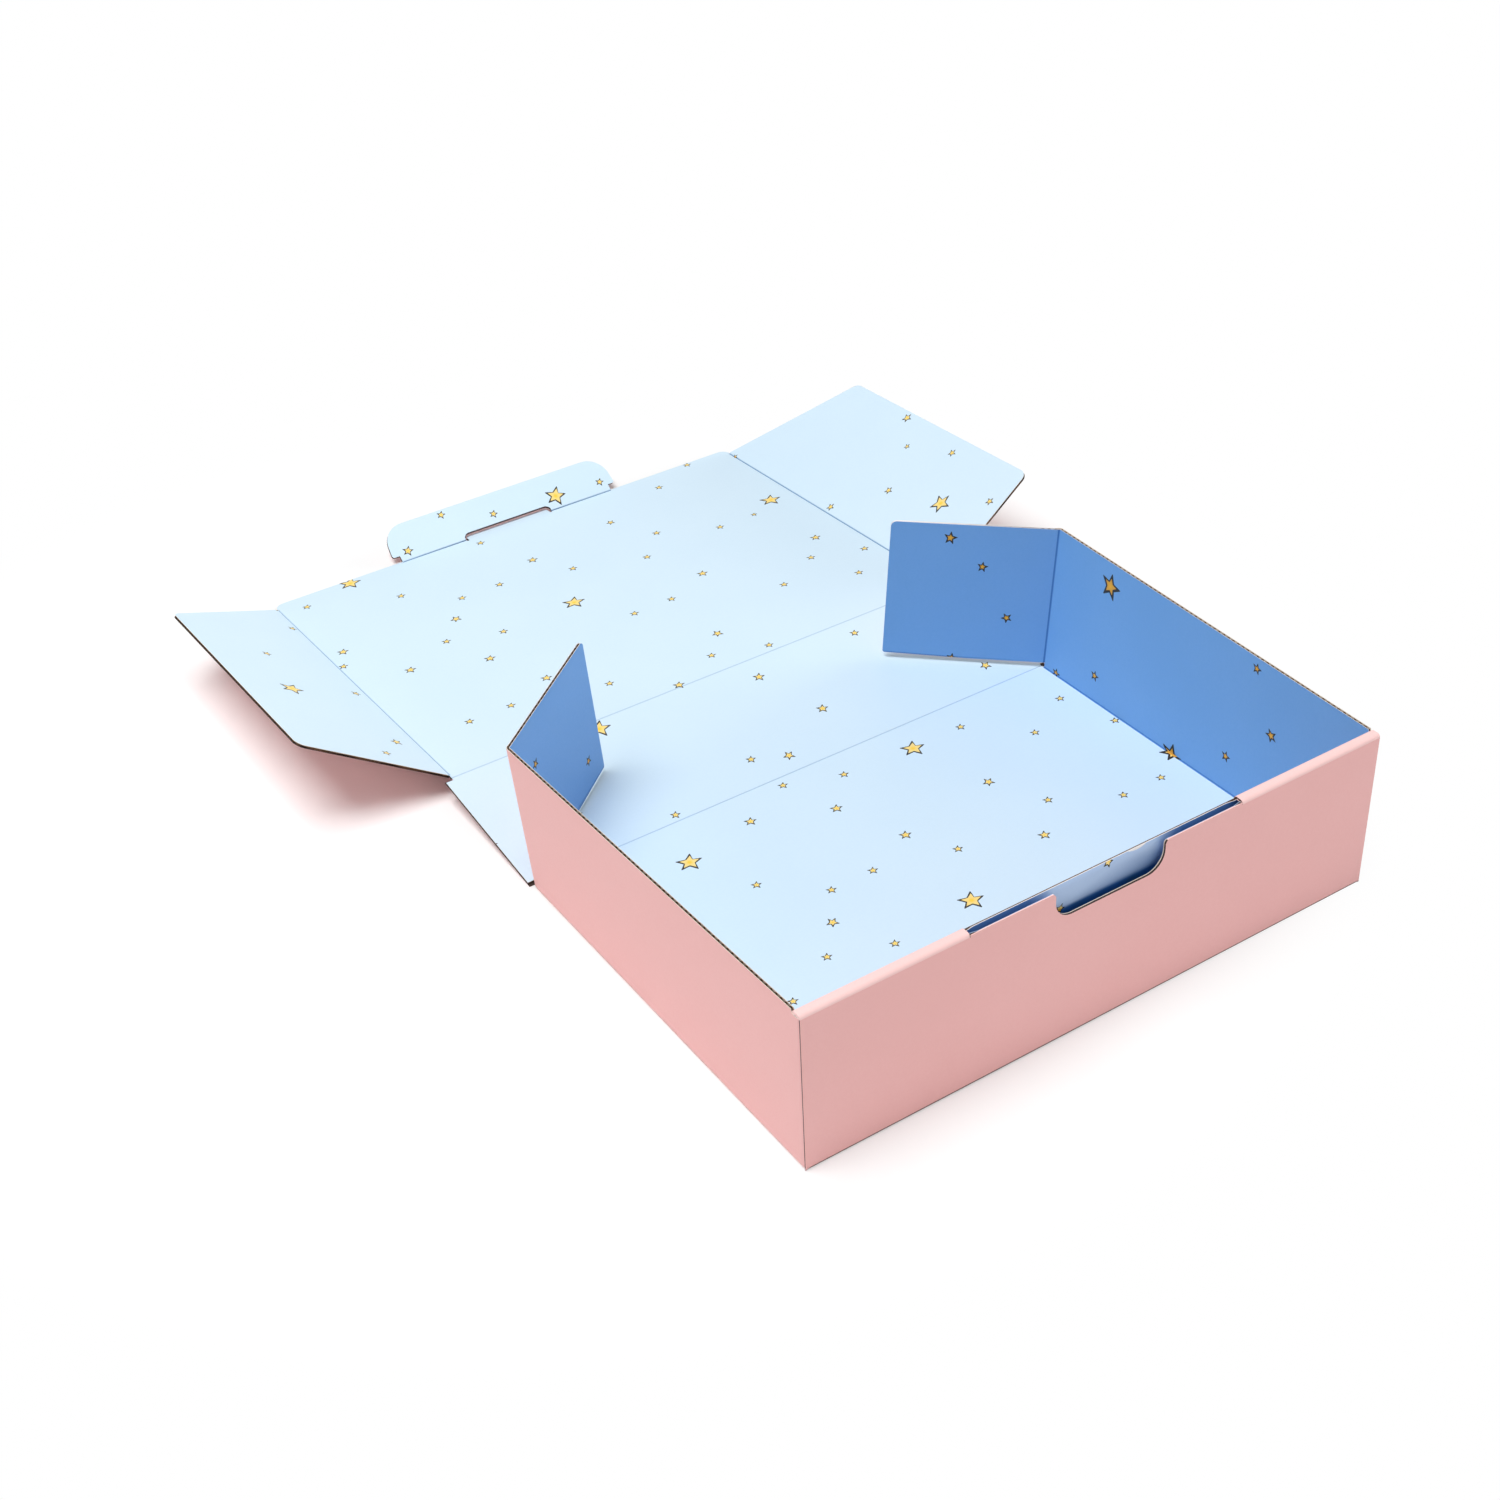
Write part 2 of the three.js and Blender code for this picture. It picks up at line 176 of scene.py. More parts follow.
def feed(made, *values, **named):
    """Fills a node's inputs by their order or by name."""
    for socket, value in zip(made.inputs, values):
        put(socket, value)
    for name, value in named.items():
        put(made.inputs[name.replace("_", " ")], value)
    return made


def node(tree, kind, *values, **named):
    return feed(tree.nodes.new(kind), *values, **named)


def math_node(tree, operation, *values):
    made = node(tree, "ShaderNodeMath", *values)
    made.operation = operation
    return made.outputs[0]


def colour_mix(tree, factor, first, second):
    made = node(tree, "ShaderNodeMix", Factor=factor)
    made.data_type = "RGBA"
    for socket, value in zip([s for s in made.inputs if s.type == "RGBA"], (first, second)):
        put(socket, value)
    return next(s for s in made.outputs if s.type == "RGBA")


def ramp(tree, source, low, high):
    """A smooth 0 to 1 where the source goes from low to high."""
    made = node(tree, "ShaderNodeMapRange", Value=source, From_Min=low, From_Max=high)
    made.interpolation_type = "SMOOTHSTEP"
    return made.outputs[0]


def mesh_value(tree, name):
    """A value that the mesh carries at each of its points."""
    made = tree.nodes.new("ShaderNodeAttribute")
    made.attribute_name = name
    return made.outputs["Fac"]


BLOTCH_SCALE, BLOTCH_DETAIL, BLOTCH_SHARE = 14, 3, 0.6
FIBRE_SCALE, FIBRE_DETAIL = 900, 4
PALEST_BLOTCH, DARKEST_BLOTCH, MOTTLE = 0.36, 0.64, 0.5
CORE_EDGE = 0.8
SHINE_BELOW, SHINE_ABOVE = 0.05, 0.07
BUMP_STRENGTH, BUMP_DISTANCE = 0.35, 0.0004


def paper(name, colour, shade, rough=0.5, fibre=0.08, washboard=0.0, core=None, pressed=None):
    """Board paper: fibre grain, slow mottling and the faint ribs of the flutes below. core tints
    the middle of a printed star, and pressed is painted shade in creases, hollows and along feet,
    over the own darker tone of a scored crease."""
    material = bpy.data.materials.new(name)
    material.use_nodes = True
    material.diffuse_color = (*colour, 1)
    tree = material.node_tree
    shader = next(n for n in tree.nodes if n.type == "BSDF_PRINCIPLED")
    place = tree.nodes.new("ShaderNodeTexCoord").outputs["Object"]
    slow, fine = (
        node(tree, "ShaderNodeTexNoise", Vector=place, Scale=scale, Detail=detail).outputs["Fac"]
        for scale, detail in ((BLOTCH_SCALE, BLOTCH_DETAIL), (FIBRE_SCALE, FIBRE_DETAIL)))
    blotch = math_node(tree, "ADD", math_node(tree, "MULTIPLY", slow, BLOTCH_SHARE),
                       math_node(tree, "MULTIPLY", fine, 1 - BLOTCH_SHARE))
    tone = math_node(tree, "MULTIPLY", ramp(tree, blotch, PALEST_BLOTCH, DARKEST_BLOTCH), MOTTLE)
    tint = colour_mix(tree, tone, (*colour, 1), (*shade, 1))
    if core is not None:
        at_core = ramp(tree, mesh_value(tree, "core"), 0, CORE_EDGE)
        tint = colour_mix(tree, at_core, tint, (*core, 1))
    if pressed is not None:
        tint = colour_mix(tree, mesh_value(tree, "press"), tint, (*pressed, 1))
    gloss = node(tree, "ShaderNodeMapRange", Value=fine, To_Min=rough - SHINE_BELOW,
                 To_Max=rough + SHINE_ABOVE)
    height = math_node(tree, "MULTIPLY", fine, fibre)
    if washboard:
        phase = math_node(tree, "MULTIPLY", mesh_value(tree, "across"), 2 * pi / PITCH)
        ribs = math_node(tree, "MULTIPLY", math_node(tree, "SINE", phase), washboard)
        height = math_node(tree, "ADD", height, ribs)
    bump = node(tree, "ShaderNodeBump", Strength=BUMP_STRENGTH, Distance=BUMP_DISTANCE,
                Height=height)
    feed(shader, Base_Color=tint, Roughness=gloss.outputs[0], Normal=bump.outputs["Normal"])
    return material


LINER_FINISH = {"rough": 0.46, "washboard": 0.02}
MATERIALS = {
    # pressed: the painted contact shadow along the front wall's foot
    "pink": paper("pink_liner", (0.90, 0.49, 0.475), (0.87, 0.455, 0.44), **LINER_FINISH,
                  pressed=(0.07, 0.03, 0.025)),
    # pressed: painted shade in creases, over a score's own darker tone
    "blue": paper("blue_liner", (0.655, 0.815, 0.935), (0.62, 0.785, 0.915), **LINER_FINISH,
                  pressed=(0.05, 0.19, 0.40)),
    # painted shade: the blue print again, deeper for the walls, flaps and hollows that stand in
    # shade; its pressed colour is painted shade too
    "deep": paper("blue_liner_painted_shade", (0.16, 0.375, 0.74), (0.13, 0.34, 0.70), **LINER_FINISH,
                  pressed=(0.02, 0.13, 0.42)),
    "cavity": paper("shaded_blue_liner", (0.43, 0.58, 0.83), (0.40, 0.55, 0.81), **LINER_FINISH,
                    pressed=(0.008, 0.10, 0.34)),
    # painted highlight: a lighter copy of the pink liner, for rolled tops and pink edges that face
    # the light, and the ledge in the tuck flap's cut-out
    "worn": paper("pink_liner_painted_highlight", (0.96, 0.645, 0.625), (0.94, 0.60, 0.58), rough=0.42,
                  washboard=0.02),
    "edge": paper("liner_edge", (0.86, 0.77, 0.66), (0.64, 0.50, 0.38), rough=0.85, fibre=0.2),
    "pale": paper("pressed_edge", (0.88, 0.84, 0.84), (0.78, 0.73, 0.73), rough=0.8, fibre=0.2),
    # partly painted shade: kraft brown made darker than the paper, for the shade between the liners
    "kraft": paper("kraft_medium_painted_shade", (0.15, 0.08, 0.045), (0.06, 0.03, 0.02), rough=0.9, fibre=0.3),
    "dark": paper("cut_edge_in_shade", (0.035, 0.02, 0.017), (0.06, 0.036, 0.03), rough=0.9,
                  fibre=0.2),
    "fill": paper("star_print", (0.96, 0.72, 0.25), (0.94, 0.68, 0.20), rough=0.46,
                  core=(0.98, 0.63, 0.05)),
    "line": paper("star_outline", (0.012, 0.011, 0.01), (0.025, 0.02, 0.018)),
    # painted shade: darker copies of the star print and outline, for stars on the deep blue and in
    # painted shade
    "deep_fill": paper("star_print_in_painted_shade", (0.74, 0.36, 0.03), (0.68, 0.32, 0.02),
                       rough=0.46, core=(0.84, 0.42, 0.01)),
    "deep_line": paper("star_outline_in_painted_shade", (0.004, 0.005, 0.008), (0.008, 0.009, 0.012)),
}
SLOTS = list(MATERIALS)


# ---- flat shapes
def rounded_ring(corners):
    """Corners (x, y) or (x, y, radius) as plain points, anticlockwise, with arcs if rounded."""
    ring = []
    for index, corner in enumerate(corners):
        point = Vector(corner[:2])
        radius = corner[2] if len(corner) > 2 else 0
        if not radius:
            ring.append(point)
            continue
        back = (Vector(corners[index - 1][:2]) - point).normalized()
        on = (Vector(corners[(index + 1) % len(corners)][:2]) - point).normalized()
        half = acos(max(-1, min(1, back.dot(on)))) / 2
        inward = (back + on).normalized()
        centre = point + inward * radius / sin(half)
        first = point + back * radius / tan(half) - centre
        last = point + on * radius / tan(half) - centre
        swing = atan2(first.x * last.y - first.y * last.x, first.dot(last))
        steps = max(2, ceil(abs(swing) / radians(ARC_STEP)))
        for step in range(steps + 1):
            c, s = cos(swing * step / steps), sin(swing * step / steps)
            ring.append(Vector((first.x * c - first.y * s, first.x * s + first.y * c)) + centre)
    area = sum(a.x * b.y - a.y * b.x for a, b in zip(ring, ring[1:] + ring[:1]))
    return ring if area > 0 else ring[::-1]


def rectangle(left, right, low, high):
    return [(left, low), (right, low), (right, high), (left, high)]


def steps_to(length, count):
    return [length * k / count for k in range(count + 1)]


def level_lines(left, right, levels):
    return [((left, y), (right, y)) for y in levels]


def upright_lines(low, high, places):
    return [((x, low), (x, high)) for x in places]


def inside(point, ring):
    """Whether a point lies in a ring, by the count of edges to its right."""
    x, y = point
    found = False
    for a, b in zip(ring, ring[1:] + ring[:1]):
        if (a[1] > y) != (b[1] > y) and x < a[0] + (b[0] - a[0]) * (y - a[1]) / (b[1] - a[1]):
            found = not found
    return found


# ---- the print
BIG, MID, SMALL, TINY = 6.6, 3.35, 2.75, 2.1
TIP_ANGLES = (-32, 51, 114, 188, 266)
DOWN = 36
WAIST, SHOULDER = 0.45, 0.94
OUTLINE_BLUNT, FILL_BLUNT = 0.05, 0.03
FILLS = {BIG: (0.735, 0.355), MID: (0.62, 0.33), SMALL: (0.58, 0.32), TINY: (0.54, 0.31)}
FILL_SHIFT = Vector((0.035, 0.02))
# Stars on the panels with painted shade get a narrower fill and grow a little, so their dark
# outline shows heavier with the shade.
PAINTED_SHADE_PANELS = ("left_wall", "right_wall", "left_flap", "right_flap")
PAINTED_SHADE_FILL_SHARE, PAINTED_SHADE_GROWTH = 0.9, 1.1


def star_ring(centre, radius, waist, blunt, turn_degrees):
    def heading(angle):
        return Vector((cos(angle), sin(angle)))

    ring = []
    for angle, following in zip(TIP_ANGLES, (*TIP_ANGLES[1:], TIP_ANGLES[0] + 360)):
        tip = radians(angle + 90 + turn_degrees)
        for swing, share in ((-blunt, SHOULDER), (0, 1), (blunt, SHOULDER)):
            ring.append(centre + heading(tip + swing) * radius * share)
        dent = radians((angle + following) / 2 + 90 + turn_degrees)
        ring.append(centre + heading(dent) * radius * waist)
    return ring


class Star:
    """A printed star on the blank: a dark outline, heavier on one side, round a yellow fill."""

    def __init__(self, panel_name, centre, radius=SMALL, turn_degrees=0):
        narrowed, grown = (PAINTED_SHADE_FILL_SHARE, PAINTED_SHADE_GROWTH) if panel_name in PAINTED_SHADE_PANELS else (1, 1)
        share, waist = FILLS[radius]
        self.centre, self.radius = centre, radius * grown
        self.outer = star_ring(centre, self.radius, WAIST, OUTLINE_BLUNT, turn_degrees)
        self.fill = star_ring(centre + FILL_SHIFT * radius, radius * share * narrowed,
                              waist / share, FILL_BLUNT, turn_degrees)


# Centres of stars as pixels of the photograph, read off, with the size where it isn't SMALL
SEEN_STARS = {
    "tuck": [(555.5, 496, BIG), (599.5, 482), (493.5, 514), (441, 515), (408, 551, MID)],
    "lid": [
        (574, 602.5, BIG), (350, 583.5, BIG), (770.5, 500, BIG), (307, 607), (401, 596),
        (480.5, 543), (532.5, 560, MID), (573, 568.5), (610.5, 522.5, SMALL, DOWN), (656.5, 533),
        (659, 487.5), (647, 557), (499.5, 584.5), (462, 598), (456, 619, MID, DOWN), (446.5, 641.5),
        (503.5, 631.5), (490, 658.5, MID), (634.5, 613.5), (671.5, 599), (609.5, 683.5),
        (546.5, 678, MID), (511, 705.5), (469.5, 721.5), (410.5, 670, MID), (343, 652, MID),
        (343.5, 666.5), (702.5, 573.5, MID), (720, 527), (754, 514.5, TINY), (784, 584.5),
        (815.5, 537.5, MID), (811, 557.5), (859, 572.5), (864.5, 548.5), (687, 465),
        (717.5, 633.5, MID, DOWN), (711.5, 655.5), (769, 645), (679, 685, MID), (736, 456.5, TINY),
        (274.5, 611.5, TINY)],
    "left_dust": [
        (292, 688.5, BIG), (292.5, 628.5), (267, 653.5), (356, 693.5), (396.5, 742, MID, DOWN),
        (386.5, 753)],
    "right_dust": [
        (940.5, 503.5, BIG), (888.5, 490.5), (952, 453), (989.5, 501.5), (907, 418, MID),
        (907, 446.5, TINY), (830.5, 507)],
    "rear": [
        (599, 729, BIG), (759, 677, MID), (822.5, 708.5, MID), (854.5, 633),
        (985.5, 665.5, MID, DOWN), (751, 759.5), (789, 755.5, MID, DOWN), (675.5, 815),
        (578.7, 814, TINY), (492.5, 845)],
    "base": [
        (913, 748.5, BIG), (689.5, 862.5, BIG), (971.5, 900.5, BIG), (844, 774.5), (783, 785.5),
        (836.5, 808.5, MID), (750.5, 821.5, MID), (905.5, 835, MID), (958, 849), (873, 870.5),
        (756.5, 885), (831.5, 890), (832.5, 922.5, MID, DOWN), (895, 943.5), (827, 957),
        (960.5, 727), (1035, 732.5), (988.5, 782, MID, DOWN), (1044.5, 835, MID), (1060, 698.5),
        (1115, 720.5), (1161, 777.5), (1123.5, 795), (1048, 800), (793, 1001.5)],
    "right_wall": [
        (1110.5, 587, BIG), (1171, 756, BIG), (1257, 669), (1271, 736, MID, DOWN), (1225.5, 756.5),
        (1094.5, 676), (1056, 673.5)],
    "right_flap": [(950.5, 538, MID), (982.5, 567), (1006.5, 618, SMALL, DOWN), (951.5, 658)],
    "left_flap": [(535.5, 764), (588.5, 761)],
    "inner_wall": [(1108, 862), (1059.7, 909)],
}


# ---- panels
SEARCH_STEPS = 5


class Panel:
    """A panel of board. place(x, y, t) gives a point in millimetres, with t from the pink liner's
    face at 0 to the blue one's at THICK. x and y run along right and up in the flat blank."""

    def __init__(self, place, origin, right=(1, 0), up=(0, 1)):
        self.place = place
        self.origin, self.right, self.up = Vector(origin), Vector(right), Vector(up)

    def to_blank(self, x, y):
        return self.origin + self.right * x + self.up * y

    def from_blank(self, point):
        offset = point - self.origin
        return Vector((offset.dot(self.right), offset.dot(self.up)))

    def seen_at(self, u, v, start):
        """Where the camera's ray through a pixel meets the blue face, in the panel's x and y."""
        x, y = start
        direction = pixel_ray(u, v)
        for _ in range(SEARCH_STEPS):
            here = self.place(x, y, THICK)
            along = self.place(x + 1, y, THICK) - here
            across = self.place(x, y + 1, THICK) - here
            system = Matrix((along, across, -direction)).transposed()
            step = system.inverted() @ (CAMERA_PLACE - here)
            x, y = x + step[0], y + step[1]
        return x, y


def placed(matrix):
    return lambda x, y, t: matrix @ Vector((x, y, t))


def turned(axis, angle):
    return Matrix.Rotation(radians(angle), 4, axis)


def moved(x, y, z):
    return Matrix.Translation((x, y, z))


rear_matrix = moved(0, DEPTH, 0) @ turned("X", REAR_TILT)
lid_matrix = rear_matrix @ moved(0, REAR_LENGTH, 0) @ turned("X", -REAR_TILT - LID_SLOPE)
tuck_matrix = lid_matrix @ moved(0, LID_DEPTH, 0) @ turned("X", TUCK_TILT + LID_SLOPE)

LIP = FRONT_TOP + LIP_RISE
NOTCH_FLOOR = LIP - NOTCH_DEPTH
NOTCH_ENDS, CUT_ENDS = (NOTCH_START, NOTCH_END), (CUT_START, CUT_END)

# How the board gives way at its folds and cut edges
FOLD_RADIUS = 1.3
FRONT_FOLD_SHARE, FRONT_FOLD_SHIFT = 0.6, 0.2
FRONT_CLOSE, CLOSE_REACH = 1.2, 9
PRESS_REACH = 3.2
PRESSED_SHARE, END_SHARE, NOTCH_LOSS, FLAP_TOP_SHARE = 0.44, 0.3, 0.12, 0.95
SKINS_SHARE = 0.96
EVEN_SHARE, NOTCH_OUTER_SHARE, TUCK_OUTER_SHARE = 0.48, 0.7, 0.22
FLAP_PRESS_START, FLAP_PRESS_RISE = 4, 8
EDGE_MARGIN = 0.1


def smooth(share):
    share = max(0.0, min(1.0, share))
    return share * share * (3 - 2 * share)


def fold_offset(distance):
    """How far an outer face draws back at a distance from a folded edge."""
    if distance >= FOLD_RADIUS:
        return 0.0
    reach = FOLD_RADIUS - max(distance, 0)
    return FOLD_RADIUS - sqrt(max(FOLD_RADIUS ** 2 - reach ** 2, 0))


def from_cut(x, y, ends, depth, radius):
    """The distance from a cut-out that lies between its ends in x and from 0 to its depth in y,
    with rounded inner corners. 0 inside it."""
    side = abs(x - (ends[0] + ends[1]) / 2) - (ends[1] - ends[0]) / 2 + radius
    inner = y - depth + radius
    if max(side, inner) <= 0:
        return 0.0
    return max(0.0, hypot(max(side, 0), max(inner, 0)) - radius)


def near_edge(distance):
    """1 at a cut edge, where the die has pressed the board, to 0 further in."""
    return 1 - smooth(distance / PRESS_REACH)


def slot_lip(x, z):
    ends = smooth((x - SLOT_START) / PRESS_REACH) * smooth((SLOT_END - x) / PRESS_REACH)
    return near_edge(LIP - z) * ends


def pressed(t, press, kept, outer_share=EVEN_SHARE):
    """t across a board pressed at an edge. Its liners swell over the flattened flutes, the outer
    one to outer_share of the thickness, and kept is how much of the thickness is left."""
    outer_skin = LINER + (outer_share * THICK - LINER) * press
    inner_skin = LINER + ((SKINS_SHARE - outer_share) * THICK - LINER) * press
    if t <= LINER:
        t *= outer_skin / LINER
    elif t >= THICK - LINER:
        t = THICK - (THICK - t) * inner_skin / LINER
    else:
        t = outer_skin + (t - LINER) / (THICK - 2 * LINER) * (THICK - outer_skin - inner_skin)
    return t * (1 - (1 - kept) * press)


def side_place(side):
    """A side wall, with its lower and front edges folded round. Its front edge closes up on the
    front wall's pressed end."""
    def place(y, z, t):
        outward = LEAN[side] * (y / WALL_REAR) * (z / HEIGHT)
        drawn, forward = 0.0, 0
        if t < THICK / 2:
            front = fold_offset(y - FLAP_FRONT + FRONT_FOLD_SHIFT)
            drawn = min(FOLD_RADIUS, fold_offset(z) + FRONT_FOLD_SHARE * front)
        if z < FRONT_TOP + EDGE_MARGIN:
            forward = FRONT_CLOSE * (1 - smooth((y - FLAP_FRONT) / CLOSE_REACH))
        inward = drawn + t - outward
        return Vector((SIDE_AT[side] - side * inward, y - forward, z))
    return place


def rear_flap_place(side):
    """A rear corner flap. The right one's top edge is pressed."""
    along = Vector((side * LEAN[side], 0, HEIGHT)).normalized()
    across = Vector((0, 1, 0))
    crease = Matrix((across, along.cross(across), along)).transposed().to_4x4()
    crease.translation = (SIDE_AT[side] - side * INNER_SIDE, CORNER_Y, 0)
    matrix = crease @ turned("Z", side * FLAP_TURN) @ turned("X", side * 90)

    def place(x, y, t):
        press = 0
        if side > 0:
            press = near_edge(HEIGHT - y) * smooth((x - FLAP_PRESS_START) / FLAP_PRESS_RISE)
        return matrix @ Vector((x, side * y, pressed(THICK - t, press, FLAP_TOP_SHARE)))
    return place


def outer_front_place(x, z, t):
    """The outer front wall, pressed thin at its two ends, along the slot and round the notch."""
    drawn = fold_offset(z) if t < THICK / 2 else 0.0
    end = near_edge(min(x, WIDTH - x))
    if end:
        return Vector((x, drawn * (1 - end) + pressed(t, end, END_SHARE), z))
    notch = near_edge(from_cut(x, LIP - z, NOTCH_ENDS, NOTCH_DEPTH, NOTCH_RADIUS))
    slot = slot_lip(x, z)
    kept = 1 - (1 - PRESSED_SHARE) * slot * (1 - notch) - NOTCH_LOSS * notch
    return Vector((x, drawn + kept * pressed(t, max(slot, notch), 1, NOTCH_OUTER_SHARE), z))


def inner_front_place(x, z, t):
    return Vector((x, STRIP_DEPTH - pressed(t, slot_lip(x, z), PRESSED_SHARE), z))


def tuck_place(x, y, t):
    press = near_edge(from_cut(x, y, CUT_ENDS, CUT_DEPTH, CUT_RADIUS))
    return tuck_matrix @ Vector((x, y, pressed(t, press, 1, TUCK_OUTER_SHARE)))


LID_START = DEPTH + REAR_LENGTH  # on the flat blank
PANELS = {
    "base": Panel(placed(Matrix.Identity(4)), (0, 0)),
    "rear": Panel(placed(rear_matrix), (0, DEPTH)),
    "lid": Panel(placed(lid_matrix), (0, LID_START)),
    "tuck": Panel(tuck_place, (0, LID_START + LID_DEPTH)),
    "outer_wall": Panel(outer_front_place, (0, 0), (1, 0), (0, -1)),
    "inner_wall": Panel(inner_front_place, (0, -2 * HEIGHT - STRIP_DEPTH)),
}
for side, word in SIDES:
    PANELS[f"{word}_wall"] = Panel(side_place(side), (SIDE_AT[side], 0), (0, 1), (side, 0))
    PANELS[f"{word}_flap"] = Panel(rear_flap_place(side), (SIDE_AT[side], CORNER_Y), (0, 1),
                                   (side, 0))
    hinge = SIDE_AT[side] - side * LID_INSET
    dust_matrix = lid_matrix @ moved(hinge, 0, 0) @ turned("Y", -side * DUST_TILT[side])
    PANELS[f"{word}_dust"] = Panel(placed(dust_matrix), (hinge, LID_START))

FIRST_GUESS = (60, 40)  # where the search for a star's place on its panel starts
STARS = []
for panel_name, seen in SEEN_STARS.items():
    panel = PANELS[panel_name]
    for u, v, *drawn in seen:
        STARS.append(Star(panel_name, panel.to_blank(*panel.seen_at(u, v, FIRST_GUESS)), *drawn))

# Where the photograph can't see the print, as on all of the left wall, more stars are scattered
HIDDEN_MARGIN = 3
STAR_SEED, STAR_SPACING = 7, 24
STAR_SIZES, STAR_WEIGHTS = (BIG, MID, SMALL, TINY), (2, 4, 9, 1)
HIDDEN_PRINTS = (  # panel, width, height, tries
    ("base", WIDTH, DEPTH, 900),
    ("left_wall", WALL_REAR, HEIGHT, 500),
    ("right_wall", WALL_REAR, HEIGHT, 400),
    ("outer_wall", WIDTH, FRONT_TOP, 200),
    ("inner_wall", WIDTH, FRONT_TOP, 200))


def hidden(panel, x, y):
    """Whether a wall of the tray stands between this place and the photograph's camera."""
    point = panel.place(x, y, THICK)
    for axis, limit in ((1, WIDTH), (0, DEPTH)):
        share = point[axis] / (point[axis] - CAMERA_PLACE[axis])
        crossing = point.lerp(CAMERA_PLACE, share)
        low_enough = crossing.z < HEIGHT - HIDDEN_MARGIN
        if 0 < share < 1 and low_enough and 0 < crossing[1 - axis] < limit:
            return True
    return False


star_draw = random.Random(STAR_SEED)
for panel_name, width, height, tries in HIDDEN_PRINTS:
    panel = PANELS[panel_name]
    for _ in range(tries):
        spot = star_draw.uniform(0, width), star_draw.uniform(0, height)
        size = star_draw.choices(STAR_SIZES, STAR_WEIGHTS)[0]
        if panel_name != "left_wall" and not hidden(panel, *spot):
            continue
        centre = panel.to_blank(*spot)
        if all((centre - other.centre).length > STAR_SPACING + other.radius for other in STARS):
            STARS.append(Star(panel_name, centre, size))


# ---- meshes
SHARP_ANGLE, BEND_ANGLE = 35, 60
STAR_REACH = 1.1
SAME_PLACE, CUT_TOLERANCE, SLIVER = 1e-4, 1e-5, 1e-7
# press value above which a star takes the inks with painted shade
PAINTED_SHADE_PRESS = 0.35


class Builder:
    """Collects the sheets and flutes of one piece."""

    def __init__(self, name):
        self.name = name
        self.points, self.values, self.faces, self.marks = [], [], [], []

    def add(self, point, across=0.0, core=0.0, press=0.0):
        self.points.append(to_row(point))
        self.values.append((across, core, press))
        return len(self.points) - 1

    def face(self, corners, mark):
        self.faces.append(tuple(corners))
        self.marks.append(SLOTS.index(mark))

    def finish(self, sharp_angle=SHARP_ANGLE):
        mesh = bpy.data.meshes.new(self.name)
        mesh.from_pydata(self.points, [], self.faces)
        used = sorted(set(self.marks))
        for index in used:
            mesh.materials.append(MATERIALS[SLOTS[index]])
        mesh.polygons.foreach_set("material_index", [used.index(mark) for mark in self.marks])
        for key, values in zip(("across", "core", "press"), zip(*self.values)):
            mesh.attributes.new(key, "FLOAT", "POINT").data.foreach_set("value", values)
        work = bmesh.new()
        work.from_mesh(mesh)
        bmesh.ops.recalc_face_normals(work, faces=work.faces)
        work.to_mesh(mesh)
        work.free()
        mesh.polygons.foreach_set("use_smooth", [True] * len(mesh.polygons))
        mesh.set_sharp_from_angle(angle=radians(sharp_angle))
        return scene_object(self.name, mesh)


def zero(p):
    return 0.0


def choice_at(choice, spot):
    """What is chosen for a place: a value as it is, or a function's answer."""
    return choice(spot) if callable(choice) else choice


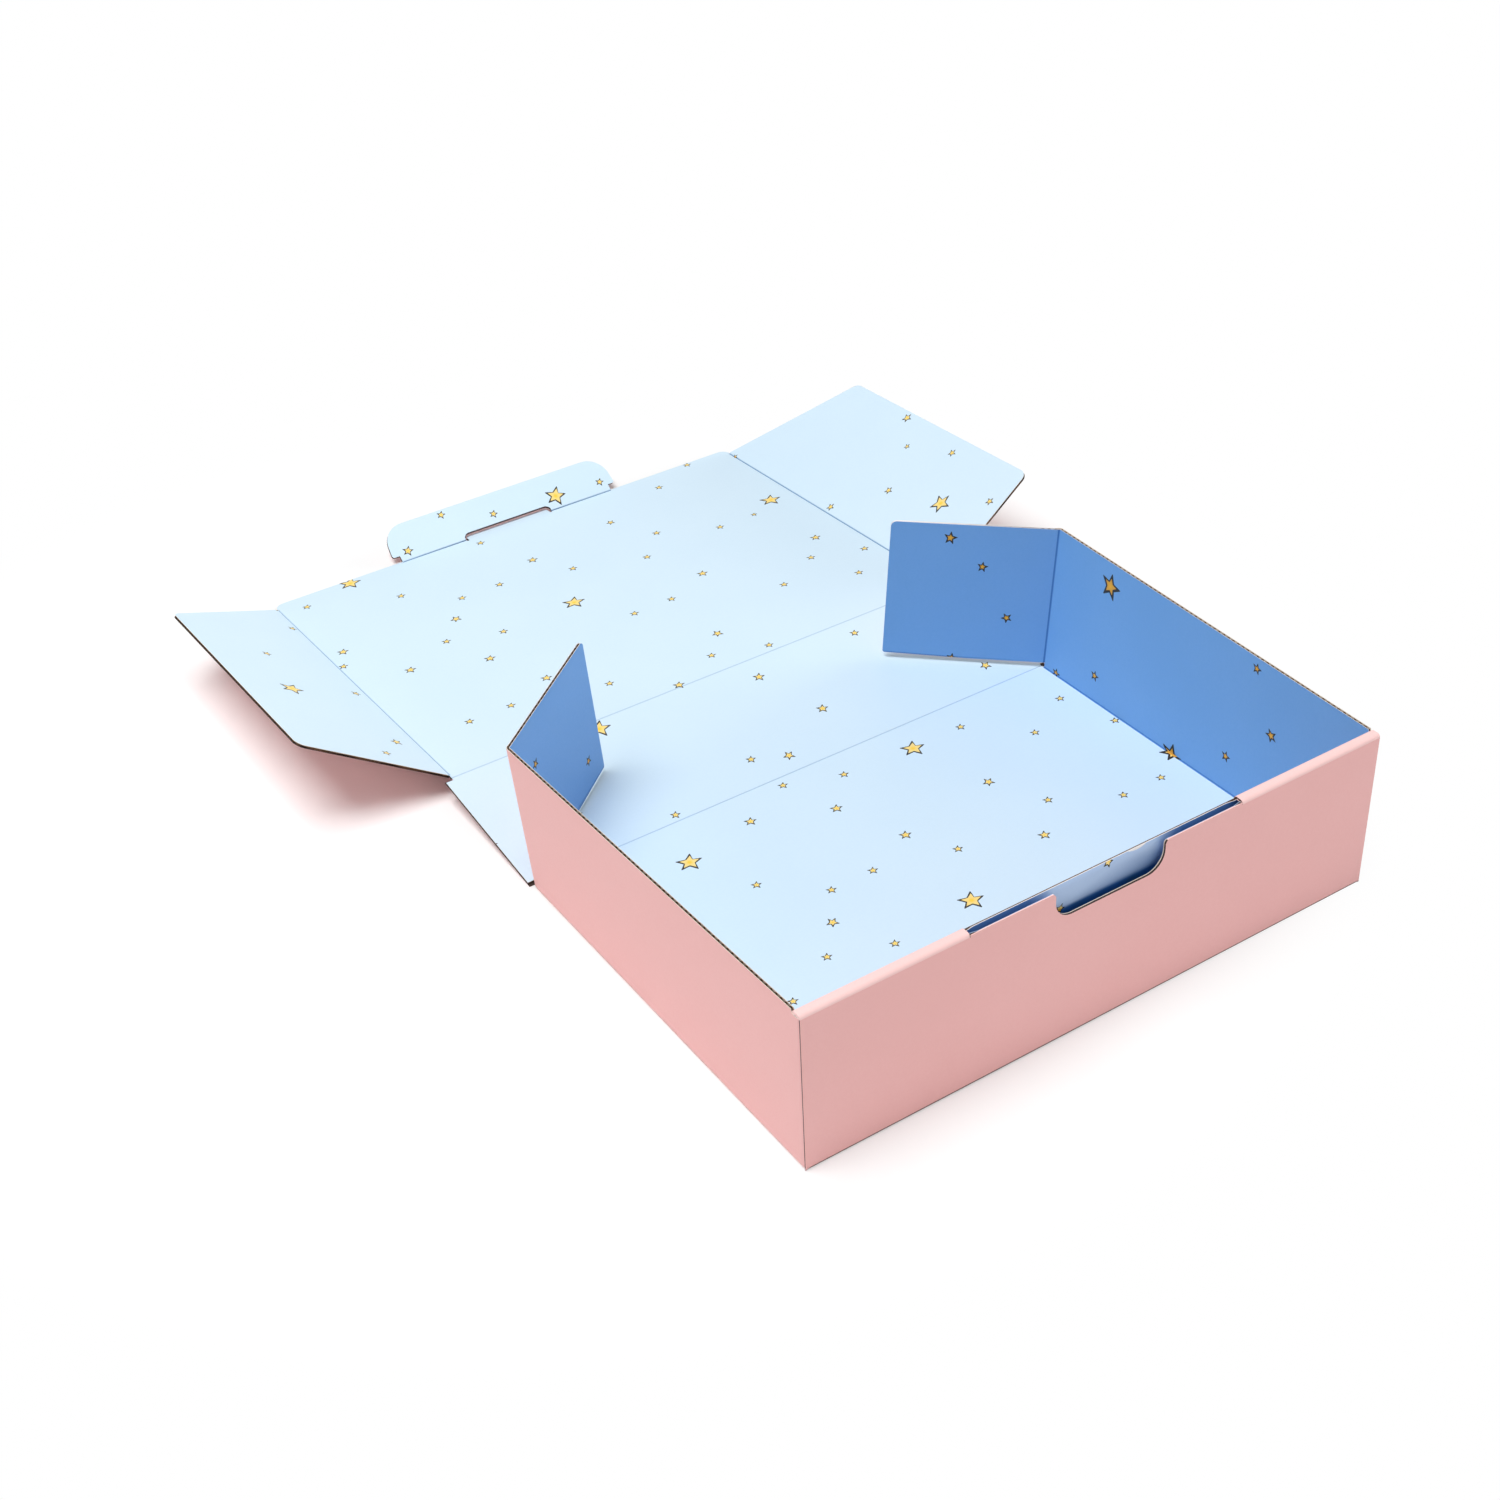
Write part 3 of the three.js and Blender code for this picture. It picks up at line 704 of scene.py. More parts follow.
def sheet(build, panel, ring, seen, back, colour, holes=(), lines=(), stars=(), across=zero,
          press=zero, rim="edge"):
    """One liner: a face at t = seen that shows its colour and print, and a face at t = back inside
    the board. across gives a place's distance across the flutes, and press the strength of a score.
    colour and rim, the cut edge's paper, are names or functions that pick one for a place."""
    rings = [rounded_ring(loop) for loop in (ring, *holes)]
    points, edges = [], []

    def add_ring(loop):
        start = len(points)
        points.extend(Vector(p) for p in loop)
        edges.extend((start + i, start + (i + 1) % len(loop)) for i in range(len(loop)))

    for loop in rings:
        add_ring(loop)
    low = [min(p[i] for p in rings[0]) for i in (0, 1)]
    high = [max(p[i] for p in rings[0]) for i in (0, 1)]
    prints = []
    for star in stars:
        centre, reach = panel.from_blank(star.centre), star.radius
        if any(centre[i] < low[i] - reach or centre[i] > high[i] + reach for i in (0, 1)):
            continue
        outer = [panel.from_blank(p) for p in star.outer]
        fill = [panel.from_blank(p) for p in star.fill]
        add_ring(outer)
        add_ring(fill)
        points.append(centre)
        prints.append((centre, reach * STAR_REACH, outer, fill))
    for a, b in lines:
        edges.append((len(points), len(points) + 1))
        points.extend((Vector(a), Vector(b)))
    found, _, triangles, *_ = delaunay_2d_cdt(points, edges, [], 0, CUT_TOLERANCE)

    corners = {}

    def corner(index, near):
        if (index, near) not in corners:
            p = found[index]
            at_core = any((p - centre).length < SAME_PLACE for centre, *_ in prints)
            corners[index, near] = build.add(panel.place(p.x, p.y, seen if near else back),
                                             across(p), 1.0 if at_core else 0.0, press(p))
        return corners[index, near]

    # Stars on the deep blue, or where the press value is strong, take the inks darkened with
    # painted shade.
    def ink(spot, kind):
        return f"deep_{kind}" if colour == "deep" or press(spot) > PAINTED_SHADE_PRESS else kind

    def mark_at(spot):
        """The paper or ink of a place. A star's fill lies over every outline."""
        mark = choice_at(colour, spot)
        for centre, reach, outer, fill in prints:
            if (spot - centre).length > reach:
                continue
            if inside(spot, fill):
                return ink(spot, "fill")
            if inside(spot, outer):
                mark = ink(spot, "line")
        return mark

    half_edges = {}
    for triangle in triangles:
        a, b, c = (found[i] for i in triangle)
        middle = (a + b + c) / 3
        if abs((b - a).cross(c - a)) < SLIVER or not inside(middle, rings[0]):
            continue
        if any(inside(middle, hole) for hole in rings[1:]):
            continue
        build.face([corner(i, True) for i in triangle], mark_at(middle))
        build.face([corner(i, False) for i in reversed(triangle)], choice_at(rim, middle))
        half_edges.update(dict.fromkeys(zip(triangle, (*triangle[1:], triangle[0]))))
    for i, j in half_edges:
        if (j, i) not in half_edges:
            build.face([corner(j, True), corner(i, True), corner(i, False), corner(j, False)],
                       choice_at(rim, (found[i] + found[j]) / 2))


def spans(rings, level_at, along):
    """Where a line at a level across the flutes lies inside the rings, as spans along them."""
    cuts = []
    for ring in rings:
        for a, b in zip(ring, ring[1:] + ring[:1]):
            if (a[1 - along] > level_at) != (b[1 - along] > level_at):
                share = (level_at - a[1 - along]) / (b[1 - along] - a[1 - along])
                cuts.append(a[along] + (b[along] - a[along]) * share)
    cuts.sort()
    return [(low + RECESS, high - RECESS) for low, high in zip(cuts[::2], cuts[1::2])
            if high - low > SHORTEST_SPAN]


def flutes(build, panel, ring, along, holes=()):
    """The fluted medium between the liners. along is 0 for flutes in the panel's x, 1 in its y."""
    rings = [rounded_ring(loop) for loop in (ring, *holes)]
    low = min(p[1 - along] for p in rings[0]) + RECESS
    high = max(p[1 - along] for p in rings[0]) - RECESS
    steps = max(2, ceil((high - low) / (PITCH / WAVE_STEPS)))
    swing = (THICK - 2 * LINER - MEDIUM) / 2

    def corner(across, end, offset):
        x, y = (across, end) if along else (end, across)
        height = THICK / 2 + swing * cos(2 * pi * across / PITCH)
        return build.add(panel.place(x, y, height + offset), across)

    def close(columns):
        if len(columns) < 2:
            return
        first, last = columns[0], columns[-1]
        faces = [(first[0], first[2], first[3], first[1]), (last[0], last[1], last[3], last[2])]
        for a, b in zip(columns, columns[1:]):
            faces += [(a[0], b[0], b[2], a[2]), (a[1], a[3], b[3], b[1]),
                      (a[0], a[1], b[1], b[0]), (a[2], b[2], b[3], a[3])]
        for corners in faces:
            build.face(corners, "kraft")

    runs = []
    for step in range(steps + 1):
        across = low + (high - low) * step / steps
        here = spans(rings, across, along)
        if len(here) != len(runs):
            for run in runs:
                close(run)
            runs = [[] for _ in here]
        for run, ends in zip(runs, here):
            run.append([corner(across, end, offset) for end in ends
                        for offset in (-MEDIUM / 2, MEDIUM / 2)])
    for run in runs:
        close(run)


def board(name, body, node_name, panel_name, outer, inner=None, along=0, blue="blue", pink="pink",
          holes=(), lines=(), outer_lines=(), outer_press=zero, inner_press=zero, outer_rim="edge",
          inner_rim="edge"):
    """A panel of board in place of its CAD node: outer liner, flutes and printed inner liner. The
    inner ring is as the outer one where none is given."""
    def across(p):
        return p[1 - along]

    panel, inner = PANELS[panel_name], inner or outer
    outer_liner, medium, inner_liner = (
        Builder(f"{name}_{part}") for part in ("outer_liner", "flutes", "inner_liner"))
    sheet(outer_liner, panel, outer, 0.0, LINER, pink, holes=holes, lines=(*lines, *outer_lines),
          across=across, press=outer_press, rim=outer_rim)
    flutes(medium, panel, inner, along, holes=holes)
    sheet(inner_liner, panel, inner, THICK, THICK - LINER, blue, holes=holes, lines=lines,
          stars=STARS, across=across, press=inner_press, rim=inner_rim)
    for build, slot in ((outer_liner, "pink_board"), (medium, "pink_board"),
                        (inner_liner, "blue_board")):
        piece = build.finish()
        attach(piece, body)
        if build is outer_liner:
            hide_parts(node_name)


def set_back(corners, x_moves, y_moves):
    """Corners moved by what the two tables say for their x and for their y."""
    return [(x + x_moves.get(x, 0), y + y_moves.get(y, 0), *radius) for x, y, *radius in corners]


def lines_round(ends, mouth, floor, radius, distances):
    """Lines at distances beside a cut-out that reaches from its mouth to its floor."""
    lines = []
    for d in distances:
        left, right, deep = ends[0] - d, ends[1] + d, floor + (d if floor > mouth else -d)
        path = rounded_ring([(left, mouth), (left, deep, radius + d), (right, deep, radius + d),
                             (right, mouth)])
        lines += list(zip(path, path[1:]))
    return lines


PRESS_STEPS = steps_to(PRESS_REACH, 4)[1:]


def end_lines(left, right, low, high):
    """Upright lines where a panel's two ends are pressed."""
    return upright_lines(low, high, [x for d in PRESS_STEPS for x in (left + d, right - d)])


# Base, with the slots for the lock tabs
slot_front, slot_rear = INNER_FRONT - PANEL_GAP, STRIP_DEPTH + PANEL_GAP
base_rear = DEPTH - CREASE_GAP
tab_slots = [rectangle(start - TAB_CLEARANCE, start + TAB_WIDTH + TAB_CLEARANCE, slot_front,
                       slot_rear) for start in TAB_STARTS]
board("base", "tray", "base_panel", "base",
      rectangle(INNER_SIDE, INNER_RIGHT, INNER_SIDE, base_rear),
      rectangle(THICK, WIDTH - THICK, INNER_SIDE, base_rear - THICK), holes=tab_slots)

# Side walls
FOLD_LINES = (0.08, 0.3, 0.7, FOLD_RADIUS)
WALL_ROWS, WALL_COLUMNS = (16, 32, 48, 64), 10
wall_ring = [(FLAP_FRONT, 0), (WALL_REAR, 0), (WALL_REAR, HEIGHT), (slot_rear, HEIGHT),
             (slot_rear, FRONT_TOP), (FLAP_FRONT, FRONT_TOP)]
wall_columns = [FLAP_FRONT + k / WALL_COLUMNS * (WALL_REAR - FLAP_FRONT)
                for k in range(1, WALL_COLUMNS)]
wall_grid = level_lines(FLAP_FRONT, WALL_REAR, WALL_ROWS)
wall_grid += upright_lines(0, HEIGHT, wall_columns)
wall_folds = level_lines(FLAP_FRONT, WALL_REAR, FOLD_LINES)
wall_folds += upright_lines(0, FRONT_TOP, [FLAP_FRONT + d for d in FOLD_LINES])
# The walls' blue is the deeper copy with painted shade.
for _, word in SIDES:
    board(f"{word}_wall", "tray", f"{word}_side_wall", f"{word}_wall", wall_ring, along=1,
          blue="deep", lines=wall_grid, outer_lines=wall_folds)

# Outer front wall with its thumb notch
SLOT_LINE_SPACING = 4
# the painted shadow at the front wall's foot: its breadth, where it reaches full strength, and its
# least strength
GROUND_LINE, GROUND_START, GROUND_LEAST = 0.7, 70, 0.35
END_MARGIN, LIP_MARGIN = 1, 0.5
outer_wall_ring = [
    (0, 0), (WIDTH, 0), (WIDTH, FRONT_TOP), (SLOT_END, FRONT_TOP), (SLOT_END, LIP),
    (NOTCH_END, LIP, NOTCH_MOUTH), (NOTCH_END, NOTCH_FLOOR, NOTCH_RADIUS),
    (NOTCH_START, NOTCH_FLOOR, NOTCH_RADIUS), (NOTCH_START, LIP, NOTCH_MOUTH),
    (SLOT_START, LIP), (SLOT_START, FRONT_TOP), (0, FRONT_TOP)]
slot_lines = level_lines(SLOT_START, SLOT_END, [LIP - d for d in PRESS_STEPS])
slot_lines += upright_lines(
    LIP, LIP - PRESS_REACH, range(ceil(SLOT_START), ceil(SLOT_END), SLOT_LINE_SPACING))
notch_lines = lines_round(NOTCH_ENDS, LIP + 1, NOTCH_FLOOR, NOTCH_RADIUS, PRESS_STEPS)


def ground_shadow_press(p):
    """Painted shadow: the dark line where the wall meets the table. It fades towards the left end.
    """
    share = GROUND_LEAST + (1 - GROUND_LEAST) * smooth(p.x / GROUND_START)
    return share * exp(-(p.y / GROUND_LINE) ** 2)


def inner_side_rim(p):
    if not END_MARGIN < p.x < WIDTH - END_MARGIN:
        return "dark"
    return "edge" if p.y < LIP - LIP_MARGIN else "cavity"


# Its rims at the lip and foot show the lighter pink with painted highlight.
board("outer_front_wall", "tray", "front_outer_wall", "outer_wall", outer_wall_ring, blue="cavity",
      lines=slot_lines + notch_lines + end_lines(0, WIDTH, 0, FRONT_TOP),
      outer_lines=level_lines(0, WIDTH, FOLD_LINES), outer_press=ground_shadow_press,
      outer_rim=lambda p: "dark" if END_MARGIN < p.y < LIP - LIP_MARGIN else "worn",
      inner_rim=inner_side_rim)

# Inner front wall with its lock tabs
foot = THICK + PANEL_GAP
inner_wall_ring = [(INNER_SIDE, FRONT_TOP), (INNER_SIDE, foot)]
for start in TAB_STARTS:
    end = start + TAB_WIDTH
    inner_wall_ring += [(start, foot), (start, PANEL_GAP, TAB_RADIUS),
                        (end, PANEL_GAP, TAB_RADIUS), (end, foot)]
inner_wall_ring += [(INNER_RIGHT, foot), (INNER_RIGHT, FRONT_TOP)]

# A chip in its lip, with its two ends as pixels of the photograph
CHIP_PIXELS = (1127.5, 851.5), (1146, 842.5)
CHIP_GUESS = 180, 75  # where the search for their places starts
CHIP_DEPTH, CHIP_FULLNESS, CHIP_STEPS = 0.9, 0.7, 8
chip_start, chip_end = (PANELS["inner_wall"].seen_at(u, v, CHIP_GUESS)[0] for u, v in CHIP_PIXELS)
chip_path = [Vector((chip_start + (chip_end - chip_start) * k / CHIP_STEPS,
                     FRONT_TOP - CHIP_DEPTH * sin(pi * k / CHIP_STEPS) ** CHIP_FULLNESS))
             for k in range(CHIP_STEPS + 1)]
chip_area = [*chip_path, Vector((chip_end, LIP + 1)), Vector((chip_start, LIP + 1))]
CAVITY_FADE, CAVITY_START, CAVITY_REACH, CAVITY_DARK = 2.0, 2, 14, 0.88
cavity_levels = [NOTCH_FLOOR + step for step in steps_to(CAVITY_FADE, 4)]


def cavity_shade(p):
    """Painted shade between the front walls: how deep a place lies there, from 0 at the notch's
    middle to 1.
    """
    beside = CAVITY_START + max(NOTCH_START - p.x, p.x - NOTCH_END)
    return max(smooth((NOTCH_FLOOR + CAVITY_FADE - p.y) / CAVITY_FADE),
               CAVITY_DARK * smooth(beside / CAVITY_REACH))


board("inner_front_wall", "tray", "front_inner_wall", "inner_wall", inner_wall_ring,
      blue=lambda p: "pale" if inside(p, chip_area) else "cavity",
      lines=[*slot_lines, *zip(chip_path, chip_path[1:]),
             *level_lines(INNER_SIDE, INNER_RIGHT, cavity_levels)],
      inner_press=cavity_shade, inner_rim="pale",
      outer_rim=lambda p: "kraft" if p.y > FRONT_TOP - LIP_MARGIN else "pale")

# Top strips, rolled over from the outer to the inner front wall
ROLL = HEIGHT - FRONT_TOP
ROLL_ARC = ROLL * pi / 2
ROLL_FLAT = STRIP_DEPTH - 2 * ROLL
ROLL_LENGTH = 2 * ROLL_ARC + ROLL_FLAT


def roll_place(x, s, t):
    """The strip's section: up over a rounded edge, back, and down over another."""
    t = pressed(t, near_edge(min(x, WIDTH - x)), 1)
    reach = ROLL - t
    if s < ROLL_ARC:
        angle = s / ROLL
        return Vector((x, ROLL - reach * cos(angle), FRONT_TOP + reach * sin(angle)))
    if s <= ROLL_ARC + ROLL_FLAT:
        return Vector((x, ROLL + s - ROLL_ARC, HEIGHT - t))
    angle = (s - ROLL_ARC - ROLL_FLAT) / ROLL
    return Vector((x, STRIP_DEPTH - ROLL + reach * sin(angle), FRONT_TOP + reach * cos(angle)))


PANELS["roll"] = Panel(roll_place, (0, -HEIGHT), (1, 0), (0, -1))
arc_levels = steps_to(ROLL_ARC, 6)
roll_levels = arc_levels[1:] + [ROLL_ARC + ROLL_FLAT + s for s in arc_levels[:-1]]
# The rolled tops show the lighter pink with painted highlight.
for word, left, right in (("left", 0, SLOT_START - PANEL_GAP),
                          ("right", SLOT_END + PANEL_GAP, WIDTH)):
    board(f"{word}_rolled_top", "tray", f"{word}_top_strip", "roll",
          rectangle(left, right, 0, ROLL_LENGTH), blue="cavity", pink="worn",
          lines=level_lines(left, right, roll_levels) + end_lines(left, right, 0, ROLL_LENGTH),
          outer_rim="worn", inner_rim="worn")

# Rear corner flaps
FOOT_RADIUS, BACK_DROP = 1.2, 0.9
FOOT_LINES, FOOT_FADE, FOOT_BREADTH = (0.6, 1.2, 1.8, 2.4, 3), 0.15, 0.5
OUTER_START = CREASE_GAP + FLAP_SET_BACK
for side, word in SIDES:
    length, rise = FLAP_LENGTH[side], FLAP_RISE[side]
    inner = [(CREASE_GAP, FLAP_LIFT), (length * RISE_START, FLAP_LIFT),
             (length, FLAP_LIFT + rise, FOOT_RADIUS), (length, HEIGHT, FLAP_RADIUS),
             (CREASE_GAP, HEIGHT)]
    outer = [(OUTER_START, FLAP_LIFT - BACK_DROP), *inner[1:-1], (OUTER_START, HEIGHT)]
    levels = [HEIGHT - d for d in PRESS_STEPS] if side > 0 else []
    levels += [FLAP_LIFT + d for d in FOOT_LINES]

    def foot_shadow_press(p):
        """Painted shade: a thin dark line along the foot's outer half."""
        share = (p.x / length - RISE_START) / (1 - RISE_START)
        above = p.y - FLAP_LIFT - rise * max(share, 0)
        return smooth(share / FOOT_FADE) * exp(-(above / FOOT_BREADTH) ** 2)

    # Their blue is the deeper copy with painted shade, and a line of painted shade runs along the
    # foot.
    board(f"{word}_corner_flap", f"{word}_rear_corner_flap", f"{word}_rear_corner_flap",
          f"{word}_flap", outer, inner, 1, blue="deep", lines=level_lines(0, length, levels),
          inner_press=foot_shadow_press, outer_rim="pale", inner_rim="pale" if side > 0 else "edge")

# Rear wall
near, far = CREASE_GAP, REAR_LENGTH - CREASE_GAP
rear_ends = -REAR_OVERHANG, WIDTH + REAR_OVERHANG
board("rear_board", "rear_wall", "rear_wall", "rear", rectangle(*rear_ends, near, far),
      rectangle(*rear_ends, near + THICK, far - THICK), outer_rim="dark")

# Lid
left, right = LID_INSET, WIDTH - LID_INSET
left_edge, right_edge = left + CREASE_GAP, right - CREASE_GAP
tuck_edge, tongue_tip = LID_DEPTH - CREASE_GAP, LID_DEPTH + TONGUE_LENGTH
flap_start, flap_end = DUST_REAR_CUT, LID_DEPTH - DUST_FRONT_CUT
lid_ring = [
    (left, near), (right, near), (right, flap_start), (right_edge, flap_start),
    (right_edge, flap_end), (right, flap_end), (right, LID_DEPTH, LID_RADIUS),
    (TUCK_END, LID_DEPTH), (TUCK_END, tuck_edge), (TONGUE_END, tuck_edge),
    (TONGUE_END, tongue_tip, TONGUE_RADIUS), (TONGUE_START, tongue_tip, TONGUE_RADIUS),
    (TONGUE_START, tuck_edge), (TUCK_START, tuck_edge), (TUCK_START, LID_DEPTH),
    (left, LID_DEPTH, LID_RADIUS), (left, flap_end), (left_edge, flap_end),
    (left_edge, flap_start), (left, flap_start)]
lid_inner = set_back(lid_ring, {left_edge: THICK, right_edge: -THICK},
                     {near: THICK, tuck_edge: -THICK})
board("lid_board", "lid", "lid_panel", "lid", lid_ring, lid_inner, outer_rim="dark")

# Dust flaps
for side, word in SIDES:
    start, reach = side * CREASE_GAP, side * DUST_LENGTH
    ring = [(start, flap_start), (reach, flap_start + DUST_REAR_TAPER, DUST_RADIUS),
            (reach, flap_end - DUST_FRONT_TAPER, DUST_RADIUS), (start, flap_end)]
    board(f"{word}_dust_board", f"{word}_dust_flap", f"{word}_dust_flap", f"{word}_dust", ring,
          set_back(ring, {start: side * THICK}, {}), outer_rim="dark")

# Tuck flap
CUT_SHADE_BORDER, CUT_MOUTH, CUT_MARGIN = 0.35, 1, 0.5
ear_left, ear_right = TUCK_START - EAR_REACH, TUCK_END + EAR_REACH
tuck_ring = [
    (CUT_END, near), (TUCK_END, near), (TUCK_END, EAR_START), (ear_right, EAR_START, EAR_RADIUS),
    (ear_right - EAR_TAPER, TUCK_LENGTH, TUCK_RADIUS),
    (ear_left + EAR_TAPER, TUCK_LENGTH, TUCK_RADIUS), (ear_left, EAR_START, EAR_RADIUS),
    (TUCK_START, EAR_START), (TUCK_START, near), (CUT_START, near),
    (CUT_START, CUT_DEPTH, CUT_RADIUS), (CUT_END, CUT_DEPTH, CUT_RADIUS)]


def in_tuck_cut(p):
    beside = CUT_START - CUT_MARGIN < p.x < CUT_END + CUT_MARGIN
    return beside and p.y < CUT_DEPTH + CUT_MARGIN


def tuck_face(p):
    """The inner liner's paper, with a thin dark border of painted shade along the cut-out."""
    at_cut = from_cut(p.x, p.y, CUT_ENDS, CUT_DEPTH, CUT_RADIUS) < CUT_SHADE_BORDER
    return "dark" if at_cut and p.y > CUT_MOUTH else "blue"


# The pink liner reaches CUT_LEDGE into the cut-out, and the lighter pink on its ledge and rim there
# is painted light, for the pink-lit floor seen through the gap.
board("tuck_board", "tuck_flap", "tuck_flap", "tuck",
      set_back(tuck_ring, {}, {CUT_DEPTH: -CUT_LEDGE}), set_back(tuck_ring, {}, {near: THICK}),
      blue=tuck_face,
      lines=lines_round(CUT_ENDS, 0, CUT_DEPTH, CUT_RADIUS, (CUT_SHADE_BORDER, *PRESS_STEPS)),
      outer_rim=lambda p: "worn" if in_tuck_cut(p) else "dark",
      inner_rim=lambda p: "dark" if in_tuck_cut(p) else "edge")


# ---- creases that fold
def crease_piece(name, slot, panel, area, levels, seen, back, colour, **looks):
    """A liner's strip over a crease, with lines along it at some levels."""
    build = Builder(name)
    sheet(build, panel, rectangle(*area), seen, back, colour,
          lines=level_lines(*area[:2], levels), **looks)
    piece = build.finish(BEND_ANGLE)
    return piece


INNER_HALF = THICK + CREASE_GAP + 0.16
OUTER_HALF = 0.6
CREASE_STEPS = 9
CREASE_LIFT = 0.015
DIP, DIP_BREADTH = 0.2, 0.55
BEND_SHARE, BLEND_SHARE = 0.7, 0.9


def crease(name, bodies, panel_names, at, ends, strength, breadth, side=0):
    """Both liners' bends over a crease, at its place on the first of two panels. strength and
    breadth are its score's darkening: painted shade in the crease's valley over the score's own
    tone. side is -1 or 1 for a crease along the panels' y."""
    first, second = (PANELS[panel_name] for panel_name in panel_names)

    def liner_bend(part, slot, half, seen, back, colour, dip=0.0, **looks):
        def place(a, s, t):
            sunk = t - dip * exp(-(s / DIP_BREADTH) ** 2)
            if side:
                one, two = first.place(at + side * s, a, sunk), second.place(side * s, a, sunk)
            else:
                one, two = first.place(a, at + s, sunk), second.place(a, s, sunk)
            return one.lerp(two, smooth((s + half * BEND_SHARE) / (2 * BEND_SHARE * half)))

        if side:
            strip = Panel(place, first.to_blank(at, 0), (0, 1), (side, 0))
        else:
            strip = Panel(place, first.to_blank(0, at))
        levels = [half * k / CREASE_STEPS for k in range(1 - CREASE_STEPS, CREASE_STEPS)]
        piece = crease_piece(f"{name}_{part}_crease", slot, strip, (*ends, -half, half), levels,
                             seen, back, colour, rim=colour, **looks)
        middle, reach = (ends[0] + ends[1]) / 2, half * BLEND_SHARE
        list(bodies)
        to_row(place(middle, -reach, seen))
        to_row(place(middle, reach, seen))
        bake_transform(piece)

    liner_bend("inner", "blue_board", INNER_HALF, THICK + CREASE_LIFT, THICK - LINER, "blue", DIP,
               stars=STARS, press=lambda p: strength * exp(-(p.y / breadth) ** 2))
    liner_bend("outer", "pink_board", OUTER_HALF, CREASE_LIFT, LINER, "pink")


crease("rear", ("tray", "rear_wall"), ("base", "rear"), DEPTH, (THICK, WIDTH - THICK), 0.5, 0.34)
crease("lid", ("rear_wall", "lid"), ("rear", "lid"), REAR_LENGTH, (left, right), 0.42, 0.34)
for number, ends in enumerate(((TUCK_START, CUT_START), (CUT_END, TUCK_END)), 1):
    crease(f"tuck_{number}", ("lid", "tuck_flap"), ("lid", "tuck"), LID_DEPTH, ends, 0.95, 0.75)
crease("left_dust", ("lid", "left_dust_flap"), ("lid", "left_dust"), LID_INSET,
       (flap_start, flap_end), 0.75, 0.55, -1)
crease("right_dust", ("lid", "right_dust_flap"), ("lid", "right_dust"), WIDTH - LID_INSET,
       (flap_start, flap_end), 0.95, 0.6, 1)

BEND_SPAN, BEND_BREADTH = 4, 1.4
BEND_START, BEND_SKIN = WALL_REAR - 0.35, 0.01
BLEND_START = 0.08
OUTER_BEND_END, INNER_BEND_END = OUTER_START + 0.4, CREASE_GAP + 0.5


def corner_bend(name, side, skin, flap_from, colour, slot, bulge, strength=0.0):
    """A liner's bend from a side wall round to its rear corner flap. skin is its t on both, and
    strength darkens the bend's middle with painted shade over the fold's own tone.
    """
    word = "left" if side < 0 else "right"
    wall, flap = PANELS[f"{word}_wall"], PANELS[f"{word}_flap"]

    def path(h, share, t):
        start, end = wall.place(BEND_START, h, skin), flap.place(flap_from, h, skin)
        along = flap.place(flap_from + 1, h, skin) - end
        one, two = start + Vector((0, bulge, 0)), end - along * bulge
        point = (start * (1 - share) ** 3 + one * 3 * share * (1 - share) ** 2
                 + two * 3 * share ** 2 * (1 - share) + end * share ** 3)
        from_wall = (wall.place(BEND_START, h, THICK / 2) - start).normalized()
        from_flap = (flap.place(flap_from, h, THICK / 2) - end).normalized()
        return point + from_wall.lerp(from_flap, share).normalized() * t

    strip = Panel(lambda h, s, t: path(h, s / BEND_SPAN, t), (0, 0))
    piece = crease_piece(
        f"{word}_corner_{name}_bend", slot, strip, (FLAP_LIFT, HEIGHT, 0, BEND_SPAN),
        steps_to(BEND_SPAN, 8)[1:-1], BEND_SKIN, LINER, colour,
        press=lambda p: strength * exp(-((p.y - BEND_SPAN / 2) / BEND_BREADTH) ** 2))
    start, end = (path(HEIGHT / 2, share, 0) for share in (BLEND_START, 1 - BLEND_START))
    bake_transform(piece)


for side, _ in SIDES:
    corner_bend("outer", side, 0.0, OUTER_BEND_END, "pink", "pink_board", 1.5)
    corner_bend("inner", side, THICK, INNER_BEND_END, "deep", "blue_board", 0.25, 1.0)

# ---- creases of the tray that never fold again
FILLET, FILLET_BACK = 0.7, -0.12
FILLET_LENGTH = FILLET * pi / 2
# where along the hollow the line of painted shade lies, and its breadth
SCORE_SHARE, SCORE_BREADTH = 0.55, 0.35
for side, word in SIDES:

    def fillet(y, s, t):
        """From the base's printed face up to the wall's, round a small hollow."""
        angle = s / FILLET
        foot_x = PANELS[f"{word}_wall"].place(y, THICK, THICK).x
        out = FILLET - (FILLET - t) * sin(angle)
        up = FILLET - (FILLET - t) * cos(angle)
        return Vector((foot_x - side * out, y, THICK + up))

    strip = Panel(fillet, (SIDE_AT[side], 0), (0, 1), (side, 0))
    # Painted shade: the deeper blue and a darker line along the hollow, over the score's own tone.
    piece = crease_piece(
        f"{word}_base_crease", "blue_board", strip, (STRIP_DEPTH, WALL_REAR, 0, FILLET_LENGTH),
        steps_to(FILLET_LENGTH, 5)[1:-1], 0.0, FILLET_BACK, "deep", stars=STARS, rim="deep",
        press=lambda p: exp(-((p.y - FILLET_LENGTH * SCORE_SHARE) / SCORE_BREADTH) ** 2))
    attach(piece, "tray")

# Front corner flaps stay as the CAD has them, in the pink liner's paper
for _, word in SIDES:
    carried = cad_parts[f"{word}_front_corner_flap"]
    carried.data.materials.clear()
    carried.data.materials.append(MATERIALS["pink"])

